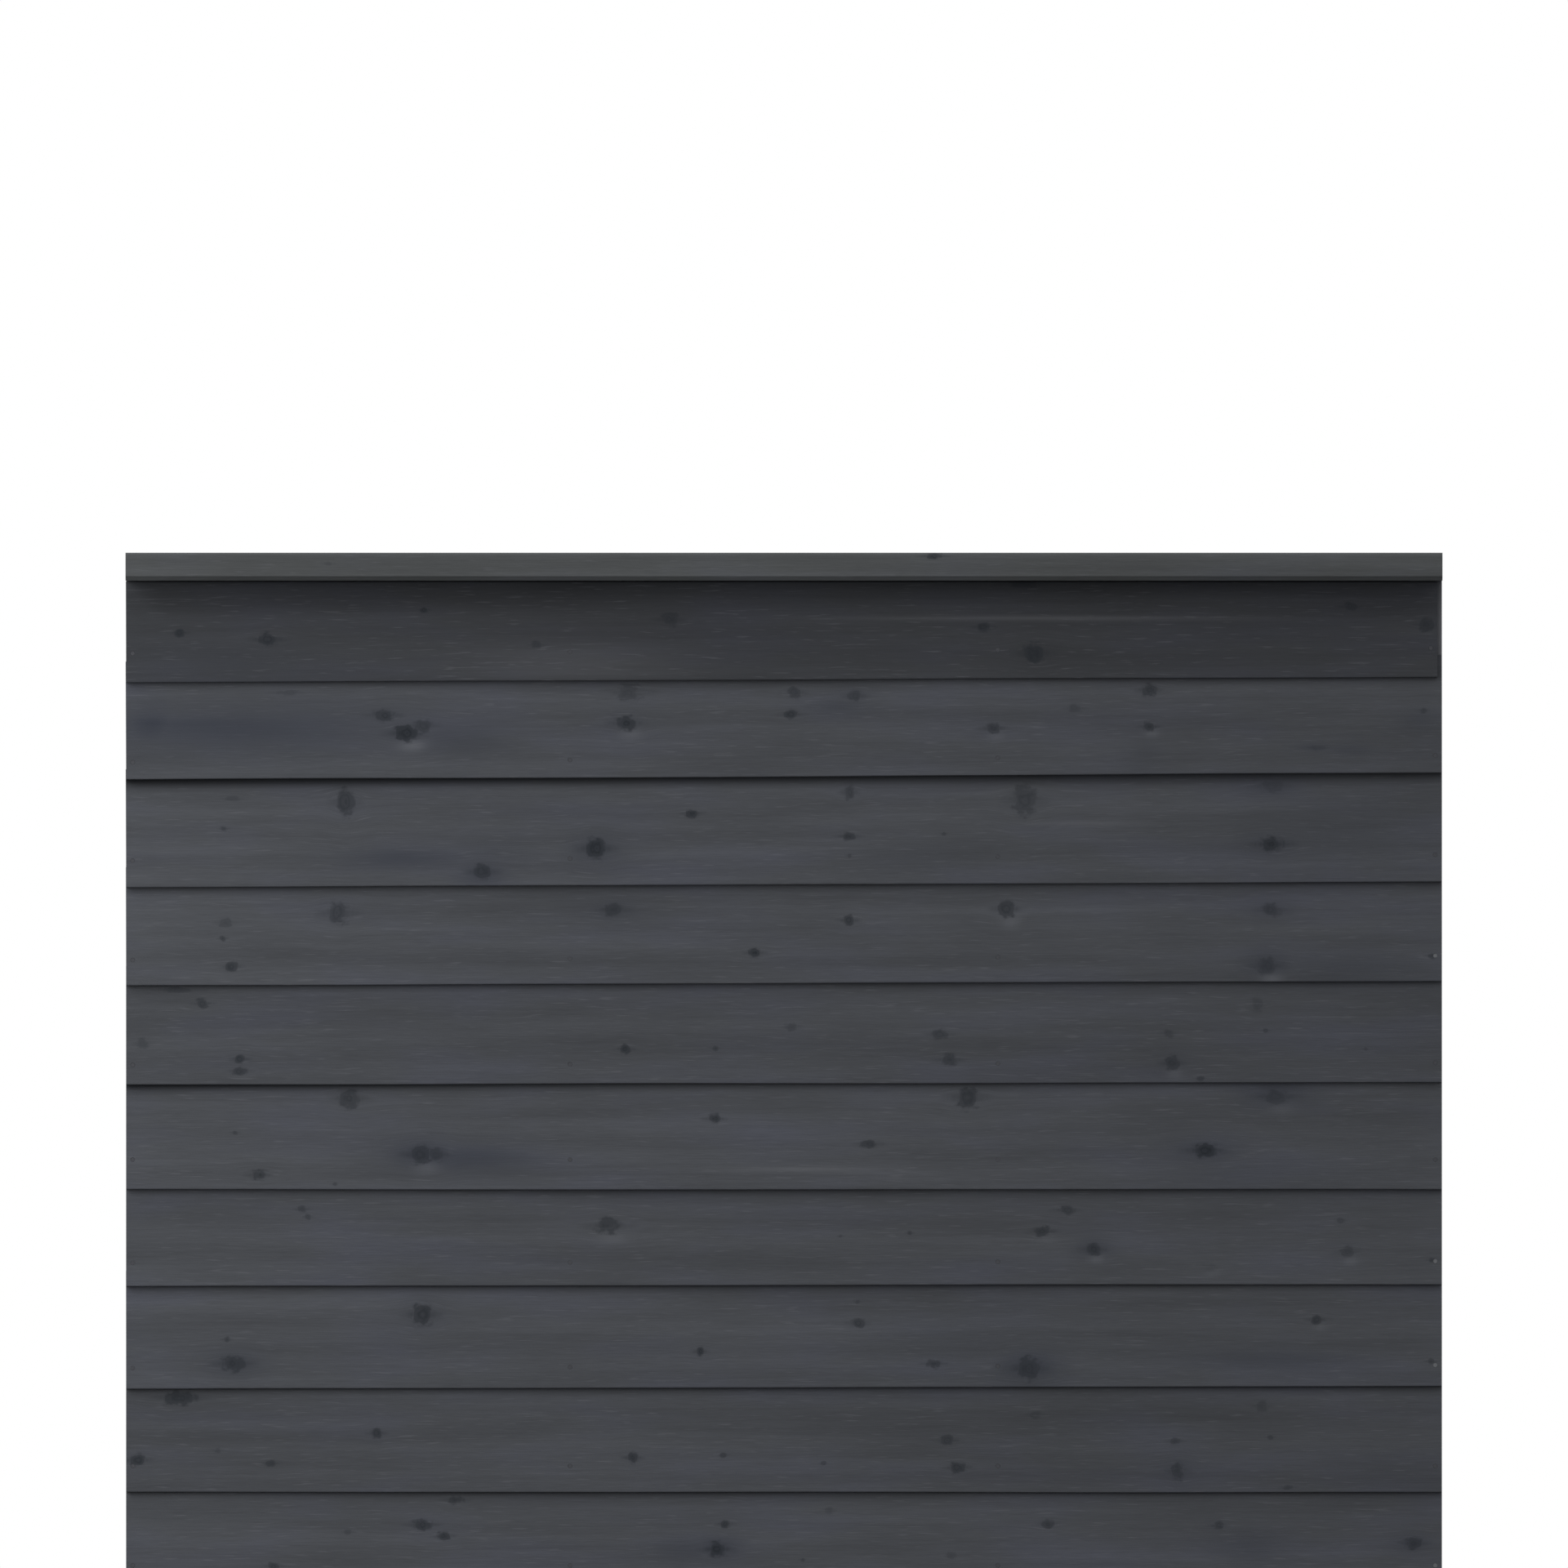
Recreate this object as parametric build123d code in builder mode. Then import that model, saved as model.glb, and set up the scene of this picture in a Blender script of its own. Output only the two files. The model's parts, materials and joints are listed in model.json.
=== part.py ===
from build123d import *
import os
from itertools import pairwise
from math import asin, atan, cos, degrees, sin, tan

# Clinker board fence panel: feather-edge boards, each lapped over the one below and nailed to a
# softwood frame, under a wide cap board. Millimetres. The front faces -Y, the panel stands on
# Z = 0, and the origin lies on the ground under the middle of the cap.

# Overall width, across the outer faces of the end stiles
PANEL_WIDTH = 1800.0

# Frame of planed battens: end stiles, with studs between a top and a bottom rail
BATTEN_DEPTH = 45.0
STILE_WIDTH = 45.0
STUD_WIDTH = 45.0
RAIL_HEIGHT = 45.0
BATTEN_ARRIS = 2.0
BAYS = 3

# Cap board, flush with the stiles at its ends, with a chamfer and a drip groove under its front lip
CAP_WIDTH = 120.0
CAP_THICKNESS = 38.0
CAP_REACH = 70.0
CAP_ARRIS = 3.0
CAP_CHAMFER = 6.0
GROOVE_WIDTH = 5.0
GROOVE_DEPTH = 4.0
GROOVE_INSET = 14.0

# Clinker boards: a feather-edge section, thick edge down
THIN_EDGE = 4.5
BOARD_ARRIS = 1.5
LEAST_LAP = 14.0
SEAT_GAP = 0.3
END_INSET = 0.3
BASE_GAP = 4.0
CAP_GAP = 1.5
SHORT_END = 6.0

# Height that shows of each board, top board first. The boards were set out by eye, so they differ.
EXPOSURES = (136.0, 132.0, 148.0, 135.0, 137.0, 145.0, 131.0, 140.0, 143.0, 136.0, 136.0, 136.0, 134.0)

# How much lower each board's left end lies than its right end, top board first
FALLS = (7.5, 9.5, 8.0, 6.0, 3.0, 0.0, 2.5, 4.0, 0.0, 0.0, 0.0, 0.0, 0.0)

# Thickness of each board's foot, top board first. The second board's casts the widest shadow.
THICK_EDGES = (9.0, 12.5, 10.0, 8.5, 8.5, 9.5, 8.5, 8.5, 8.0, 9.0, 9.0, 9.0, 9.0)

# Tilting fillet, which gives the lowest board the lean of the others
FILLET_THICKNESS = 6.0
FILLET_HEIGHT = 22.0

# Nails and screws are many-sided instead of round, because there are so many of them
FASTENER_SIDES = 6
HOLE_OVERCUT = 1.0

# Flat-head nails, driven square to the face just clear of the board below and set flush
NAIL_DIAMETER = 2.6
NAIL_LENGTH = 45.0
NAIL_HEAD_DIAMETER = 6.0
NAIL_HEAD_THICKNESS = 1.0
NAIL_POINT = 4.0
NAIL_TIP = 0.5
NAIL_SINK = 0.2
NAIL_CLEARANCE = 0.05
NAIL_ABOVE_LAP = 10.0
NAIL_END_DISTANCE = 9.0
FILLET_NAIL_LENGTH = 30.0

# Countersunk wood screws of the frame and the cap
SCREW_DIAMETER = 5.0
SCREW_HEAD_DIAMETER = 10.0
SCREW_POINT = 8.0
SCREW_TIP = 0.8
SCREW_SINK = 0.5
SCREW_CLEARANCE = 0.05
SCREW_PAIR_SPACING = 22.0
CAP_SCREW_LENGTH = 70.0
FRAME_SCREW_LENGTH = 90.0

# Places worked out from the sizes above
BOARD_WIDTH = max(EXPOSURES) + LEAST_LAP
CAP_UNDERSIDE = BASE_GAP + sum(EXPOSURES)
PANEL_HEIGHT = CAP_UNDERSIDE + CAP_THICKNESS
HALF_WIDTH = PANEL_WIDTH / 2
RAIL_LENGTH = PANEL_WIDTH - 2 * STILE_WIDTH
FRAME_FRONT = CAP_REACH - CAP_WIDTH / 2
FRAME_MIDDLE = FRAME_FRONT + BATTEN_DEPTH / 2
STILE_CENTRE = HALF_WIDTH - STILE_WIDTH / 2
BAY_WIDTH = 2 * STILE_CENTRE / BAYS
STUD_CENTRES = [-STILE_CENTRE + BAY_WIDTH * bay for bay in range(1, BAYS)]
BAY_MIDDLES = [-STILE_CENTRE + BAY_WIDTH * (bay + 0.5) for bay in range(BAYS)]
RAIL_MIDDLES = (RAIL_HEIGHT / 2, CAP_UNDERSIDE - RAIL_HEIGHT / 2)
SIDES = {"left": -1, "right": 1}

os.makedirs("parts", exist_ok=True)


class Board:
    """One clinker board: where it lies, its section, and the places of its nails.

    The section is drawn outwards from the frame's front (first coordinate) and up from the
    board's foot (second coordinate). Its back leans from the frame, which its head touches, to
    the face of the piece below, on which its foot rests.
    """

    def __init__(self, foot, stand_off, lap, fall, thick_edge):
        slope = atan(fall / PANEL_WIDTH)
        self.plane = Plane(
            origin=(0, FRAME_FRONT, foot),
            x_dir=(0, -1, 0),
            z_dir=(-cos(slope), 0, -sin(slope)),
        )
        self.stretch = 1 / cos(slope)
        self.lean = asin((stand_off - SEAT_GAP) / BOARD_WIDTH)
        outwards = Vector(cos(self.lean), sin(self.lean))
        back_foot = Vector(stand_off, 0)
        back_head = Vector(SEAT_GAP, BOARD_WIDTH * cos(self.lean))
        self.front_foot = back_foot + outwards * thick_edge
        self.front_head = back_head + outwards * THIN_EDGE
        self.section = [back_foot, back_head, self.front_head, self.front_foot]
        self.height = back_head.Y
        self.lap = lap
        self.left_end = -(HALF_WIDTH - END_INSET)
        self.right_end = HALF_WIDTH - END_INSET

    def face_stand_off(self, height):
        """How far the front face stands off the frame, this high above the foot."""
        share = (height - self.front_foot.Y) / (self.front_head.Y - self.front_foot.Y)
        return self.front_foot.X + share * (self.front_head.X - self.front_foot.X)

    def nail_places(self):
        """Planes on the front face, one for each upright from left to right."""
        up_face = (self.front_head - self.front_foot).normalized()
        at = self.front_foot + up_face * (self.lap + NAIL_ABOVE_LAP)
        outwards = self.plane.x_dir * up_face.Y - self.plane.y_dir * up_face.X
        columns = [
            self.left_end + NAIL_END_DISTANCE,
            *STUD_CENTRES,
            self.right_end - NAIL_END_DISTANCE,
        ]
        origins = [self.plane.from_local_coords((at.X, at.Y, -x * self.stretch)) for x in columns]
        return [Plane(origin=origin, z_dir=outwards) for origin in origins]


def lay_boards():
    """The boards from the top down, each leaning on the one below, which is laid first."""
    laid = []
    foot = BASE_GAP
    stand_off = FILLET_THICKNESS + SEAT_GAP
    lap = FILLET_HEIGHT
    for exposure, fall, thick_edge in zip(reversed(EXPOSURES), reversed(FALLS), reversed(THICK_EDGES)):
        board = Board(foot, stand_off, lap, fall, thick_edge)
        laid.append(board)
        foot += exposure
        stand_off = board.face_stand_off(exposure) + SEAT_GAP
        lap = board.height - exposure
    laid[-1].right_end -= SHORT_END
    return laid[::-1]


def fastener_body(outline):
    """A nail, a screw or the hole for one, from its head downwards.

    The outline gives each section's radius across the flats and its depth below the surface at
    Z = 0. Two sections at one depth make a shoulder.
    """
    downwards = Plane(origin=(0, 0, 0), z_dir=(0, 0, -1))
    with BuildPart() as body:
        for (radius, depth), (next_radius, next_depth) in pairwise(outline):
            length = next_depth - depth
            if length > 0:
                with BuildSketch(downwards.offset(depth)):
                    RegularPolygon(radius, FASTENER_SIDES, major_radius=False)
                extrude(amount=length, taper=degrees(atan((radius - next_radius) / length)))
    return body.part


def nail(length, top=NAIL_SINK, clearance=0.0):
    """A flat-head nail, its head just below the surface at Z = 0."""
    head = NAIL_HEAD_DIAMETER / 2 + clearance
    shank = NAIL_DIAMETER / 2 + clearance
    tip = NAIL_TIP / 2 + clearance
    shoulder = NAIL_SINK + NAIL_HEAD_THICKNESS
    return fastener_body(
        [(head, top), (head, shoulder), (shank, shoulder), (shank, length - NAIL_POINT), (tip, length)]
    )


def screw(length, top=SCREW_SINK, clearance=0.0):
    """A countersunk screw, its head just below the surface at Z = 0."""
    head = SCREW_HEAD_DIAMETER / 2 + clearance
    shank = SCREW_DIAMETER / 2 + clearance
    tip = SCREW_TIP / 2 + clearance
    neck = SCREW_SINK + head - shank
    return fastener_body(
        [(shank + neck - top, top), (shank, neck), (shank, length - SCREW_POINT), (tip, length)]
    )


def drive_nails(places, length):
    """Cut the holes of the nails at these places from the piece that is being built."""
    hole = nail(length, -HOLE_OVERCUT, NAIL_CLEARANCE)
    with Locations(*places):
        add(hole, mode=Mode.SUBTRACT)


def drive_screws(places, length):
    """Cut the holes of the screws at these places from the piece that is being built."""
    hole = screw(length, -HOLE_OVERCUT, SCREW_CLEARANCE)
    with Locations(*places):
        add(hole, mode=Mode.SUBTRACT)


# Boards, and the nail places of each upright from left to right
boards = lay_boards()
nail_columns = list(zip(*[board.nail_places() for board in boards]))
left_nails, *stud_nails, right_nails = nail_columns
lowest = boards[-1]

# Nail places of the tilting fillet, whose front is bevelled to the lowest board's lean
fillet_bevel = FILLET_HEIGHT * tan(lowest.lean)
fillet_nails = [
    Plane(
        origin=(x, FRAME_FRONT - FILLET_THICKNESS + fillet_bevel / 2, BASE_GAP + FILLET_HEIGHT / 2),
        z_dir=(0, -cos(lowest.lean), sin(lowest.lean)),
    )
    for x in (-STILE_CENTRE, *STUD_CENTRES, STILE_CENTRE)
]

# Screw places, each a plane on the surface that the head lies in
pair = (-SCREW_PAIR_SPACING / 2, SCREW_PAIR_SPACING / 2)
cap_screws = [
    Plane(origin=(x, FRAME_MIDDLE, PANEL_HEIGHT))
    for x in (-STILE_CENTRE, *BAY_MIDDLES, STILE_CENTRE)
]
stile_screws = {
    side: [
        Plane(origin=(sign * HALF_WIDTH, FRAME_MIDDLE + y, z), z_dir=(sign, 0, 0))
        for z in RAIL_MIDDLES
        for y in pair
    ]
    for side, sign in SIDES.items()
}
stud_screws = [
    Plane(origin=(x + shift, FRAME_MIDDLE, z), z_dir=(0, 0, way))
    for x in STUD_CENTRES
    for shift in pair
    for z, way in ((0, -1), (CAP_UNDERSIDE, 1))
]

# Clinker boards, numbered from the top; the top one is ripped to fit under the cap
for number, board in enumerate(boards, start=1):
    with BuildPart() as clinker_board:
        with BuildSketch(board.plane.offset(-board.right_end)) as board_section:
            with BuildLine():
                Polyline(*board.section, close=True)
            make_face()
            chamfer(board_section.vertices().sort_by(Axis.X)[-1], BOARD_ARRIS)
        extrude(amount=board.right_end - board.left_end)
        if board is boards[0]:
            split(bisect_by=Plane.XY.offset(CAP_UNDERSIDE - CAP_GAP), keep=Keep.BOTTOM)
        drive_nails(board.nail_places(), NAIL_LENGTH)
    clinker_board.part.label = f"board_{number:02d}"
    export_step(clinker_board.part, f"parts/{clinker_board.part.label}.step")

# Cap board
with BuildPart() as cap_board:
    with BuildSketch(Plane.YZ.offset(-HALF_WIDTH)) as cap_section:
        with Locations((0, PANEL_HEIGHT - CAP_THICKNESS / 2)):
            Rectangle(CAP_WIDTH, CAP_THICKNESS)
        lip, *other_corners = cap_section.vertices().sort_by(lambda corner: corner.X + corner.Y)
        chamfer(other_corners, CAP_ARRIS)
        chamfer(lip, CAP_CHAMFER)
        with Locations((GROOVE_INSET - CAP_WIDTH / 2, CAP_UNDERSIDE)):
            Rectangle(GROOVE_WIDTH, GROOVE_DEPTH, align=(Align.MIN, Align.MIN), mode=Mode.SUBTRACT)
    extrude(amount=PANEL_WIDTH)
    drive_screws(cap_screws, CAP_SCREW_LENGTH)
cap_board.part.label = "cap_board"
export_step(cap_board.part, "parts/cap_board.step")

# End stiles, full height under the cap
for side, sign in SIDES.items():
    with BuildPart() as stile:
        with BuildSketch():
            with Locations((sign * STILE_CENTRE, FRAME_MIDDLE)):
                Rectangle(STILE_WIDTH, BATTEN_DEPTH)
        extrude(amount=CAP_UNDERSIDE)
        chamfer(stile.edges().filter_by(Axis.Z), BATTEN_ARRIS)
        drive_nails(left_nails if sign < 0 else right_nails, NAIL_LENGTH)
        drive_nails(fillet_nails, FILLET_NAIL_LENGTH)
        drive_screws(stile_screws[side], FRAME_SCREW_LENGTH)
        drive_screws(cap_screws, CAP_SCREW_LENGTH)
    stile.part.label = f"stile_{side}"
    export_step(stile.part, f"parts/{stile.part.label}.step")

# Rails between the stiles
for name, middle in zip(("bottom_rail", "top_rail"), RAIL_MIDDLES):
    with BuildPart() as rail:
        with BuildSketch(Plane.YZ.offset(-RAIL_LENGTH / 2)):
            with Locations((FRAME_MIDDLE, middle)):
                Rectangle(BATTEN_DEPTH, RAIL_HEIGHT)
        extrude(amount=RAIL_LENGTH)
        chamfer(rail.edges().filter_by(Axis.X), BATTEN_ARRIS)
        for column in stud_nails:
            drive_nails((column[0], column[-1]), NAIL_LENGTH)
        drive_nails(fillet_nails, FILLET_NAIL_LENGTH)
        for side in SIDES:
            drive_screws(stile_screws[side], FRAME_SCREW_LENGTH)
        drive_screws(stud_screws, FRAME_SCREW_LENGTH)
        drive_screws(cap_screws, CAP_SCREW_LENGTH)
    rail.part.label = name
    export_step(rail.part, f"parts/{name}.step")

# Studs between the rails
for number, (x, column) in enumerate(zip(STUD_CENTRES, stud_nails), start=1):
    with BuildPart() as stud:
        with BuildSketch(Plane.XY.offset(RAIL_HEIGHT)):
            with Locations((x, FRAME_MIDDLE)):
                Rectangle(STUD_WIDTH, BATTEN_DEPTH)
        extrude(amount=CAP_UNDERSIDE - 2 * RAIL_HEIGHT)
        chamfer(stud.edges().filter_by(Axis.Z), BATTEN_ARRIS)
        drive_nails(column, NAIL_LENGTH)
        drive_screws(stud_screws, FRAME_SCREW_LENGTH)
    stud.part.label = f"stud_{number}"
    export_step(stud.part, f"parts/{stud.part.label}.step")

# Tilting fillet across the foot of the frame, behind the lowest board
with BuildPart() as tilting_fillet:
    with BuildSketch(lowest.plane.offset(-lowest.right_end)):
        with BuildLine():
            Polyline(
                (0, 0),
                (FILLET_THICKNESS, 0),
                (FILLET_THICKNESS - fillet_bevel, FILLET_HEIGHT),
                (0, FILLET_HEIGHT),
                close=True,
            )
        make_face()
    extrude(amount=lowest.right_end - lowest.left_end)
    drive_nails(fillet_nails, FILLET_NAIL_LENGTH)
tilting_fillet.part.label = "tilting_fillet"
export_step(tilting_fillet.part, "parts/tilting_fillet.step")

# Nails, grouped by the upright that they are driven into, and screws, grouped by what they hold
board_nail = nail(NAIL_LENGTH)
frame_screw = screw(FRAME_SCREW_LENGTH)
fastener_groups = {
    "nails_stile_left": (board_nail, left_nails),
    "nails_stile_right": (board_nail, right_nails),
    **{f"nails_stud_{number}": (board_nail, column) for number, column in enumerate(stud_nails, start=1)},
    "fillet_nails": (nail(FILLET_NAIL_LENGTH), fillet_nails),
    "cap_screws": (screw(CAP_SCREW_LENGTH), cap_screws),
    "stile_screws": (frame_screw, stile_screws["left"] + stile_screws["right"]),
    "stud_screws": (frame_screw, stud_screws),
}
for name, (fastener, places) in fastener_groups.items():
    with BuildPart() as group:
        with Locations(*places):
            add(fastener)
    group.part.label = name
    export_step(group.part, f"parts/{name}.step")
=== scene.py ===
# %% [markdown]
# # A clinker board fence panel
# The real panel is a square of thin feather-edge boards, each lapped over the one below, nailed to
# a frame of battens and closed by a wide cap board. Everything is spruce under a dark grey stain.
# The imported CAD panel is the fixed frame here: each piece below is measured from it, so that the
# dressed panel keeps the real sizes.

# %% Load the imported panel
import json
import math
from typing import NamedTuple

import bpy
import numpy as np
from mathutils import Matrix, Vector

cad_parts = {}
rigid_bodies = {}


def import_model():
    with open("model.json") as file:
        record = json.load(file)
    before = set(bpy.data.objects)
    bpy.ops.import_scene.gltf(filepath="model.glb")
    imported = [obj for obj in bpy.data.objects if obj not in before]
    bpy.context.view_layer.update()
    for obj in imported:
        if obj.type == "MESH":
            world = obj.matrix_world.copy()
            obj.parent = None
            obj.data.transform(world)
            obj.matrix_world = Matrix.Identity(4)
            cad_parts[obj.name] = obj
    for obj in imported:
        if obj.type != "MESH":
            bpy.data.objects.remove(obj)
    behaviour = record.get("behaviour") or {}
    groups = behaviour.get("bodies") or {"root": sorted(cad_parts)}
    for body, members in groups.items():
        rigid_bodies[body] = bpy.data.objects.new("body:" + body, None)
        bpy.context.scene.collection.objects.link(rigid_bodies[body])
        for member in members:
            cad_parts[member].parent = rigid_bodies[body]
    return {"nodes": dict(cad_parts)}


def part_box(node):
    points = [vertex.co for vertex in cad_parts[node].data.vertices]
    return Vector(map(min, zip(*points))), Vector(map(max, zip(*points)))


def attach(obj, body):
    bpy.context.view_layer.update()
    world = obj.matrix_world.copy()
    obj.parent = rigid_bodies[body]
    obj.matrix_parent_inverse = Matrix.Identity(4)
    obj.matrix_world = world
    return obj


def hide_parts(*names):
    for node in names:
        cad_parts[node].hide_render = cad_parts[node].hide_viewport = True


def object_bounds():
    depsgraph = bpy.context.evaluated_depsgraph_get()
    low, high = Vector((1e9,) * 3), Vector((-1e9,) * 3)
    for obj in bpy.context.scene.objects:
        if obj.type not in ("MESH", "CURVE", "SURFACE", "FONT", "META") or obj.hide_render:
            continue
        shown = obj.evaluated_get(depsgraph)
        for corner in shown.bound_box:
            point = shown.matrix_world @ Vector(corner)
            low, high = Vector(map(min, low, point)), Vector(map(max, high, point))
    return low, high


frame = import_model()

MM = 0.001
nodes = frame["nodes"]
cad_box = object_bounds()
print("panel, m:", [round(size, 3) for size in cad_box[1] - cad_box[0]], "from", len(nodes), "pieces")

# %% [markdown]
# ## Small helpers
# Every tree of nodes, for shapes or for finishes, is wired with one helper: it adds a node, gives it
# its settings and links its inputs. A second one turns the hex colours that a paint chart would give
# into the linear values that a shader needs. The others make an empty finish and an empty object.


# %% Colour, node and object helpers
def linear(hex_colour):
    """An sRGB hex colour as the linear RGBA that a shader works in."""
    channels = [int(hex_colour[at:at + 2], 16) / 255 for at in (1, 3, 5)]
    return (*[c / 12.92 if c <= 0.04045 else ((c + 0.055) / 1.055) ** 2.4 for c in channels], 1.0)


def add(tree, kind, inputs=None, **settings):
    """Adds a node with its settings. An input is linked to a node or a socket, or set to a value."""
    made = tree.nodes.new(kind)
    made.location = (190 * (len(tree.nodes) // 6), -170 * (len(tree.nodes) % 6))
    for name, value in settings.items():
        setattr(made, name, value)
    for name, value in (inputs or {}).items():
        if isinstance(value, bpy.types.Node):
            value = value.outputs[0]
        if isinstance(value, bpy.types.NodeSocket):
            tree.links.new(value, made.inputs[name])
        else:
            made.inputs[name].default_value = value
    return made


def new_finish(name):
    """A material with an empty tree of nodes. Returns both."""
    material = bpy.data.materials.new(name)
    material.use_nodes = True
    material.node_tree.nodes.clear()
    return material, material.node_tree


def new_piece(name, data=None):
    """An object in the scene, at the origin, with its data or an empty mesh."""
    piece = bpy.data.objects.new(name, data or bpy.data.meshes.new(name))
    bpy.context.scene.collection.objects.link(piece)
    return piece


print("stain grey #46474c is", [round(c, 4) for c in linear("#46474c")[:3]], "linear")

# %% [markdown]
# ## The camera
# The photograph looks straight at the panel, with no vanishing lines at all, as through a very long
# lens from far away. The picture is 1920 pixels square and the panel's 1.8 m spans 1612 of them,
# which fixes the scale. The camera stands level with the picture's middle, so nothing leans.

# %% Photo scale and camera
PHOTO_SIDE = 1920
PANEL_PIXELS = 1612
PHOTO_TOP_OF_CAP = 677
CAMERA_DISTANCE = 80.0
SENSOR = 36.0

metres_per_pixel = (cad_box[1].x - cad_box[0].x) / PANEL_PIXELS


def photo_to_panel(x, y):
    """The panel's X and Z, in metres, of a pixel in the photograph."""
    return (x - PHOTO_SIDE / 2) * metres_per_pixel, cad_box[1].z - (y - PHOTO_TOP_OF_CAP) * metres_per_pixel


camera = new_piece("camera", bpy.data.cameras.new("camera"))
camera.data.sensor_width = SENSOR
camera.data.lens = SENSOR * CAMERA_DISTANCE / (PHOTO_SIDE * metres_per_pixel)
camera.location = (0, -CAMERA_DISTANCE, photo_to_panel(0, PHOTO_SIDE / 2)[1])
camera.rotation_euler = (math.radians(90), 0, 0)
camera.data.clip_end = 2 * CAMERA_DISTANCE
bpy.context.scene.camera = camera
print("camera height, m:", round(camera.location.z, 3), "lens, mm:", round(camera.data.lens, 1))

# %% [markdown]
# ## Measuring the boards
# A clinker board is sawn thick at its foot and thin at its head. Each leans on the board below, and
# many run a few millimetres out of level because they were set out by eye. Instead of repeating all
# those numbers, the script reads them from the CAD solid: its two ends give the fall, and the
# corners of an end give the lean, the width and the two thicknesses.


# %% Board measures
class Timber(NamedTuple):
    """A piece of sawn timber: its place, and the sizes of its section, in metres.

    In its own frame the length runs along X, the width up Z, and the back lies at Y = 0.
    """

    place: Matrix
    length: float
    width_left: float
    width_right: float
    thick: float
    thin: float


def read(items, field, kind=np.int32, size=1):
    """One field of all the corners, edges or faces of a mesh, as a flat array."""
    flat = np.zeros(len(items) * size, kind)
    items.foreach_get(field, flat)
    return flat


def mesh_points(mesh):
    """The corners of a mesh, in metres."""
    return read(mesh.vertices, "co", np.float32, 3).reshape(-1, 3).astype(float)


def points_of(node):
    """The corners of a CAD node, in metres."""
    return mesh_points(nodes[node].data)


def measure_board(node):
    """Reads a leaning board's place and section from the corners of its CAD solid."""
    points = points_of(node)
    left = points[points[:, 0] < 0]
    right = points[points[:, 0] > 0]
    low_left = left[left[:, 2].argmin()]
    low_right = right[right[:, 2].argmin()]
    slope = math.atan2(low_right[2] - low_left[2], low_right[0] - low_left[0])
    along = np.array([math.cos(slope), 0, math.sin(slope)])
    up = np.array([-math.sin(slope), 0, math.cos(slope)])
    run = points @ along
    ends = []
    for end in (run.min(), run.max()):
        section = points[abs(run - end) < 0.5 * MM]
        height = section @ up
        foot = section[height.argmin()]
        head = section[section[:, 1].argmax()]
        top = section[height > height.max() - 1 * MM]
        ends.append((foot, head, top, section))
    (foot, head, top, section), (right_foot, right_head, _, _) = ends
    rise = head - foot
    rise /= np.linalg.norm(rise)
    inwards = np.cross(rise, along)
    place = Matrix((along, inwards, rise)).transposed().to_4x4()
    place.translation = Vector((foot + right_foot) / 2)
    return Timber(
        place,
        run.max() - run.min(),
        float((head - foot) @ rise),
        float((right_head - right_foot) @ rise),
        float(-((section - foot) @ inwards).min()),
        float(-((top - head) @ inwards).min()),
    )


board_names = sorted(name for name in nodes if name.startswith("board_"))
boards = {name: measure_board(name) for name in board_names}
for name, board in boards.items():
    print(name, "mm: length", round(board.length / MM, 1), "width", round(board.width_left / MM, 1),
          "to", round(board.width_right / MM, 1), "thick", round(board.thick / MM, 2),
          "thin", round(board.thin / MM, 2))

# %% [markdown]
# ## Measuring the battens and the cap
# The frame's battens, the cap and the fillet behind the lowest board lie square, so their boxes say
# it all. Uprights are turned so that their length, and with it their grain, still runs along X.


# %% Batten measures
LENGTHWISE = Matrix.Identity(3)
UPRIGHT = Matrix(((0, 0, -1), (0, 1, 0), (1, 0, 0)))


def measure_batten(node, turn=LENGTHWISE, thin=None):
    """Reads a square-set batten's place and section from its box."""
    low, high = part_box(node)
    size = high - low
    middle = (low + high) / 2
    place = turn.to_4x4()
    if turn is UPRIGHT:
        length, width = size.z, size.x
        place.translation = (high.x, high.y, middle.z)
    else:
        length, width = size.x, size.z
        place.translation = (middle.x, high.y, low.z)
    return Timber(place, length, width, width, size.y, size.y if thin is None else thin)


battens = {name: measure_batten(name, UPRIGHT)
           for name in ("stile_left", "stile_right", "stud_1", "stud_2")}
battens |= {name: measure_batten(name) for name in ("top_rail", "bottom_rail")}
fillet_points = points_of("tilting_fillet")
fillet_head = fillet_points[fillet_points[:, 2] > fillet_points[:, 2].max() - 0.1 * MM]
battens["tilting_fillet"] = measure_batten("tilting_fillet", thin=float(np.ptp(fillet_head[:, 1])))
cap = measure_batten("cap_board")
for name, batten in {**battens, "cap_board": cap}.items():
    print(name, "mm: length", round(batten.length / MM), "width", round(batten.width_left / MM),
          "thick", round(batten.thick / MM), "thin", round(batten.thin / MM, 1))

# %% [markdown]
# ## Finding the nails and screws
# Each row of nails or screws is one CAD node of many solids. The triangles that share corners belong
# to one solid. Its long axis is the way it was driven, and the end with the wide head is its top.


# %% Fastener places
class Fastener(NamedTuple):
    """Where a nail or a screw was driven: the middle of its head's top, the way out, and its length."""

    head: Vector
    out: Vector
    length: float


def solids_of(node):
    """The corner points of each separate solid of a CAD node."""
    points = points_of(node)
    corners, corner_of = np.unique((points / (0.01 * MM)).round().astype(int), axis=0, return_inverse=True)
    owner = np.arange(len(corners))
    triangles = [[corner_of[index] for index in face.vertices] for face in nodes[node].data.polygons]
    settled = False
    while not settled:
        before = owner.copy()
        for triangle in triangles:
            owner[triangle] = owner[triangle].min()
        settled = (before == owner).all()
    return [points[owner[corner_of] == solid] for solid in np.unique(owner)]


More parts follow.
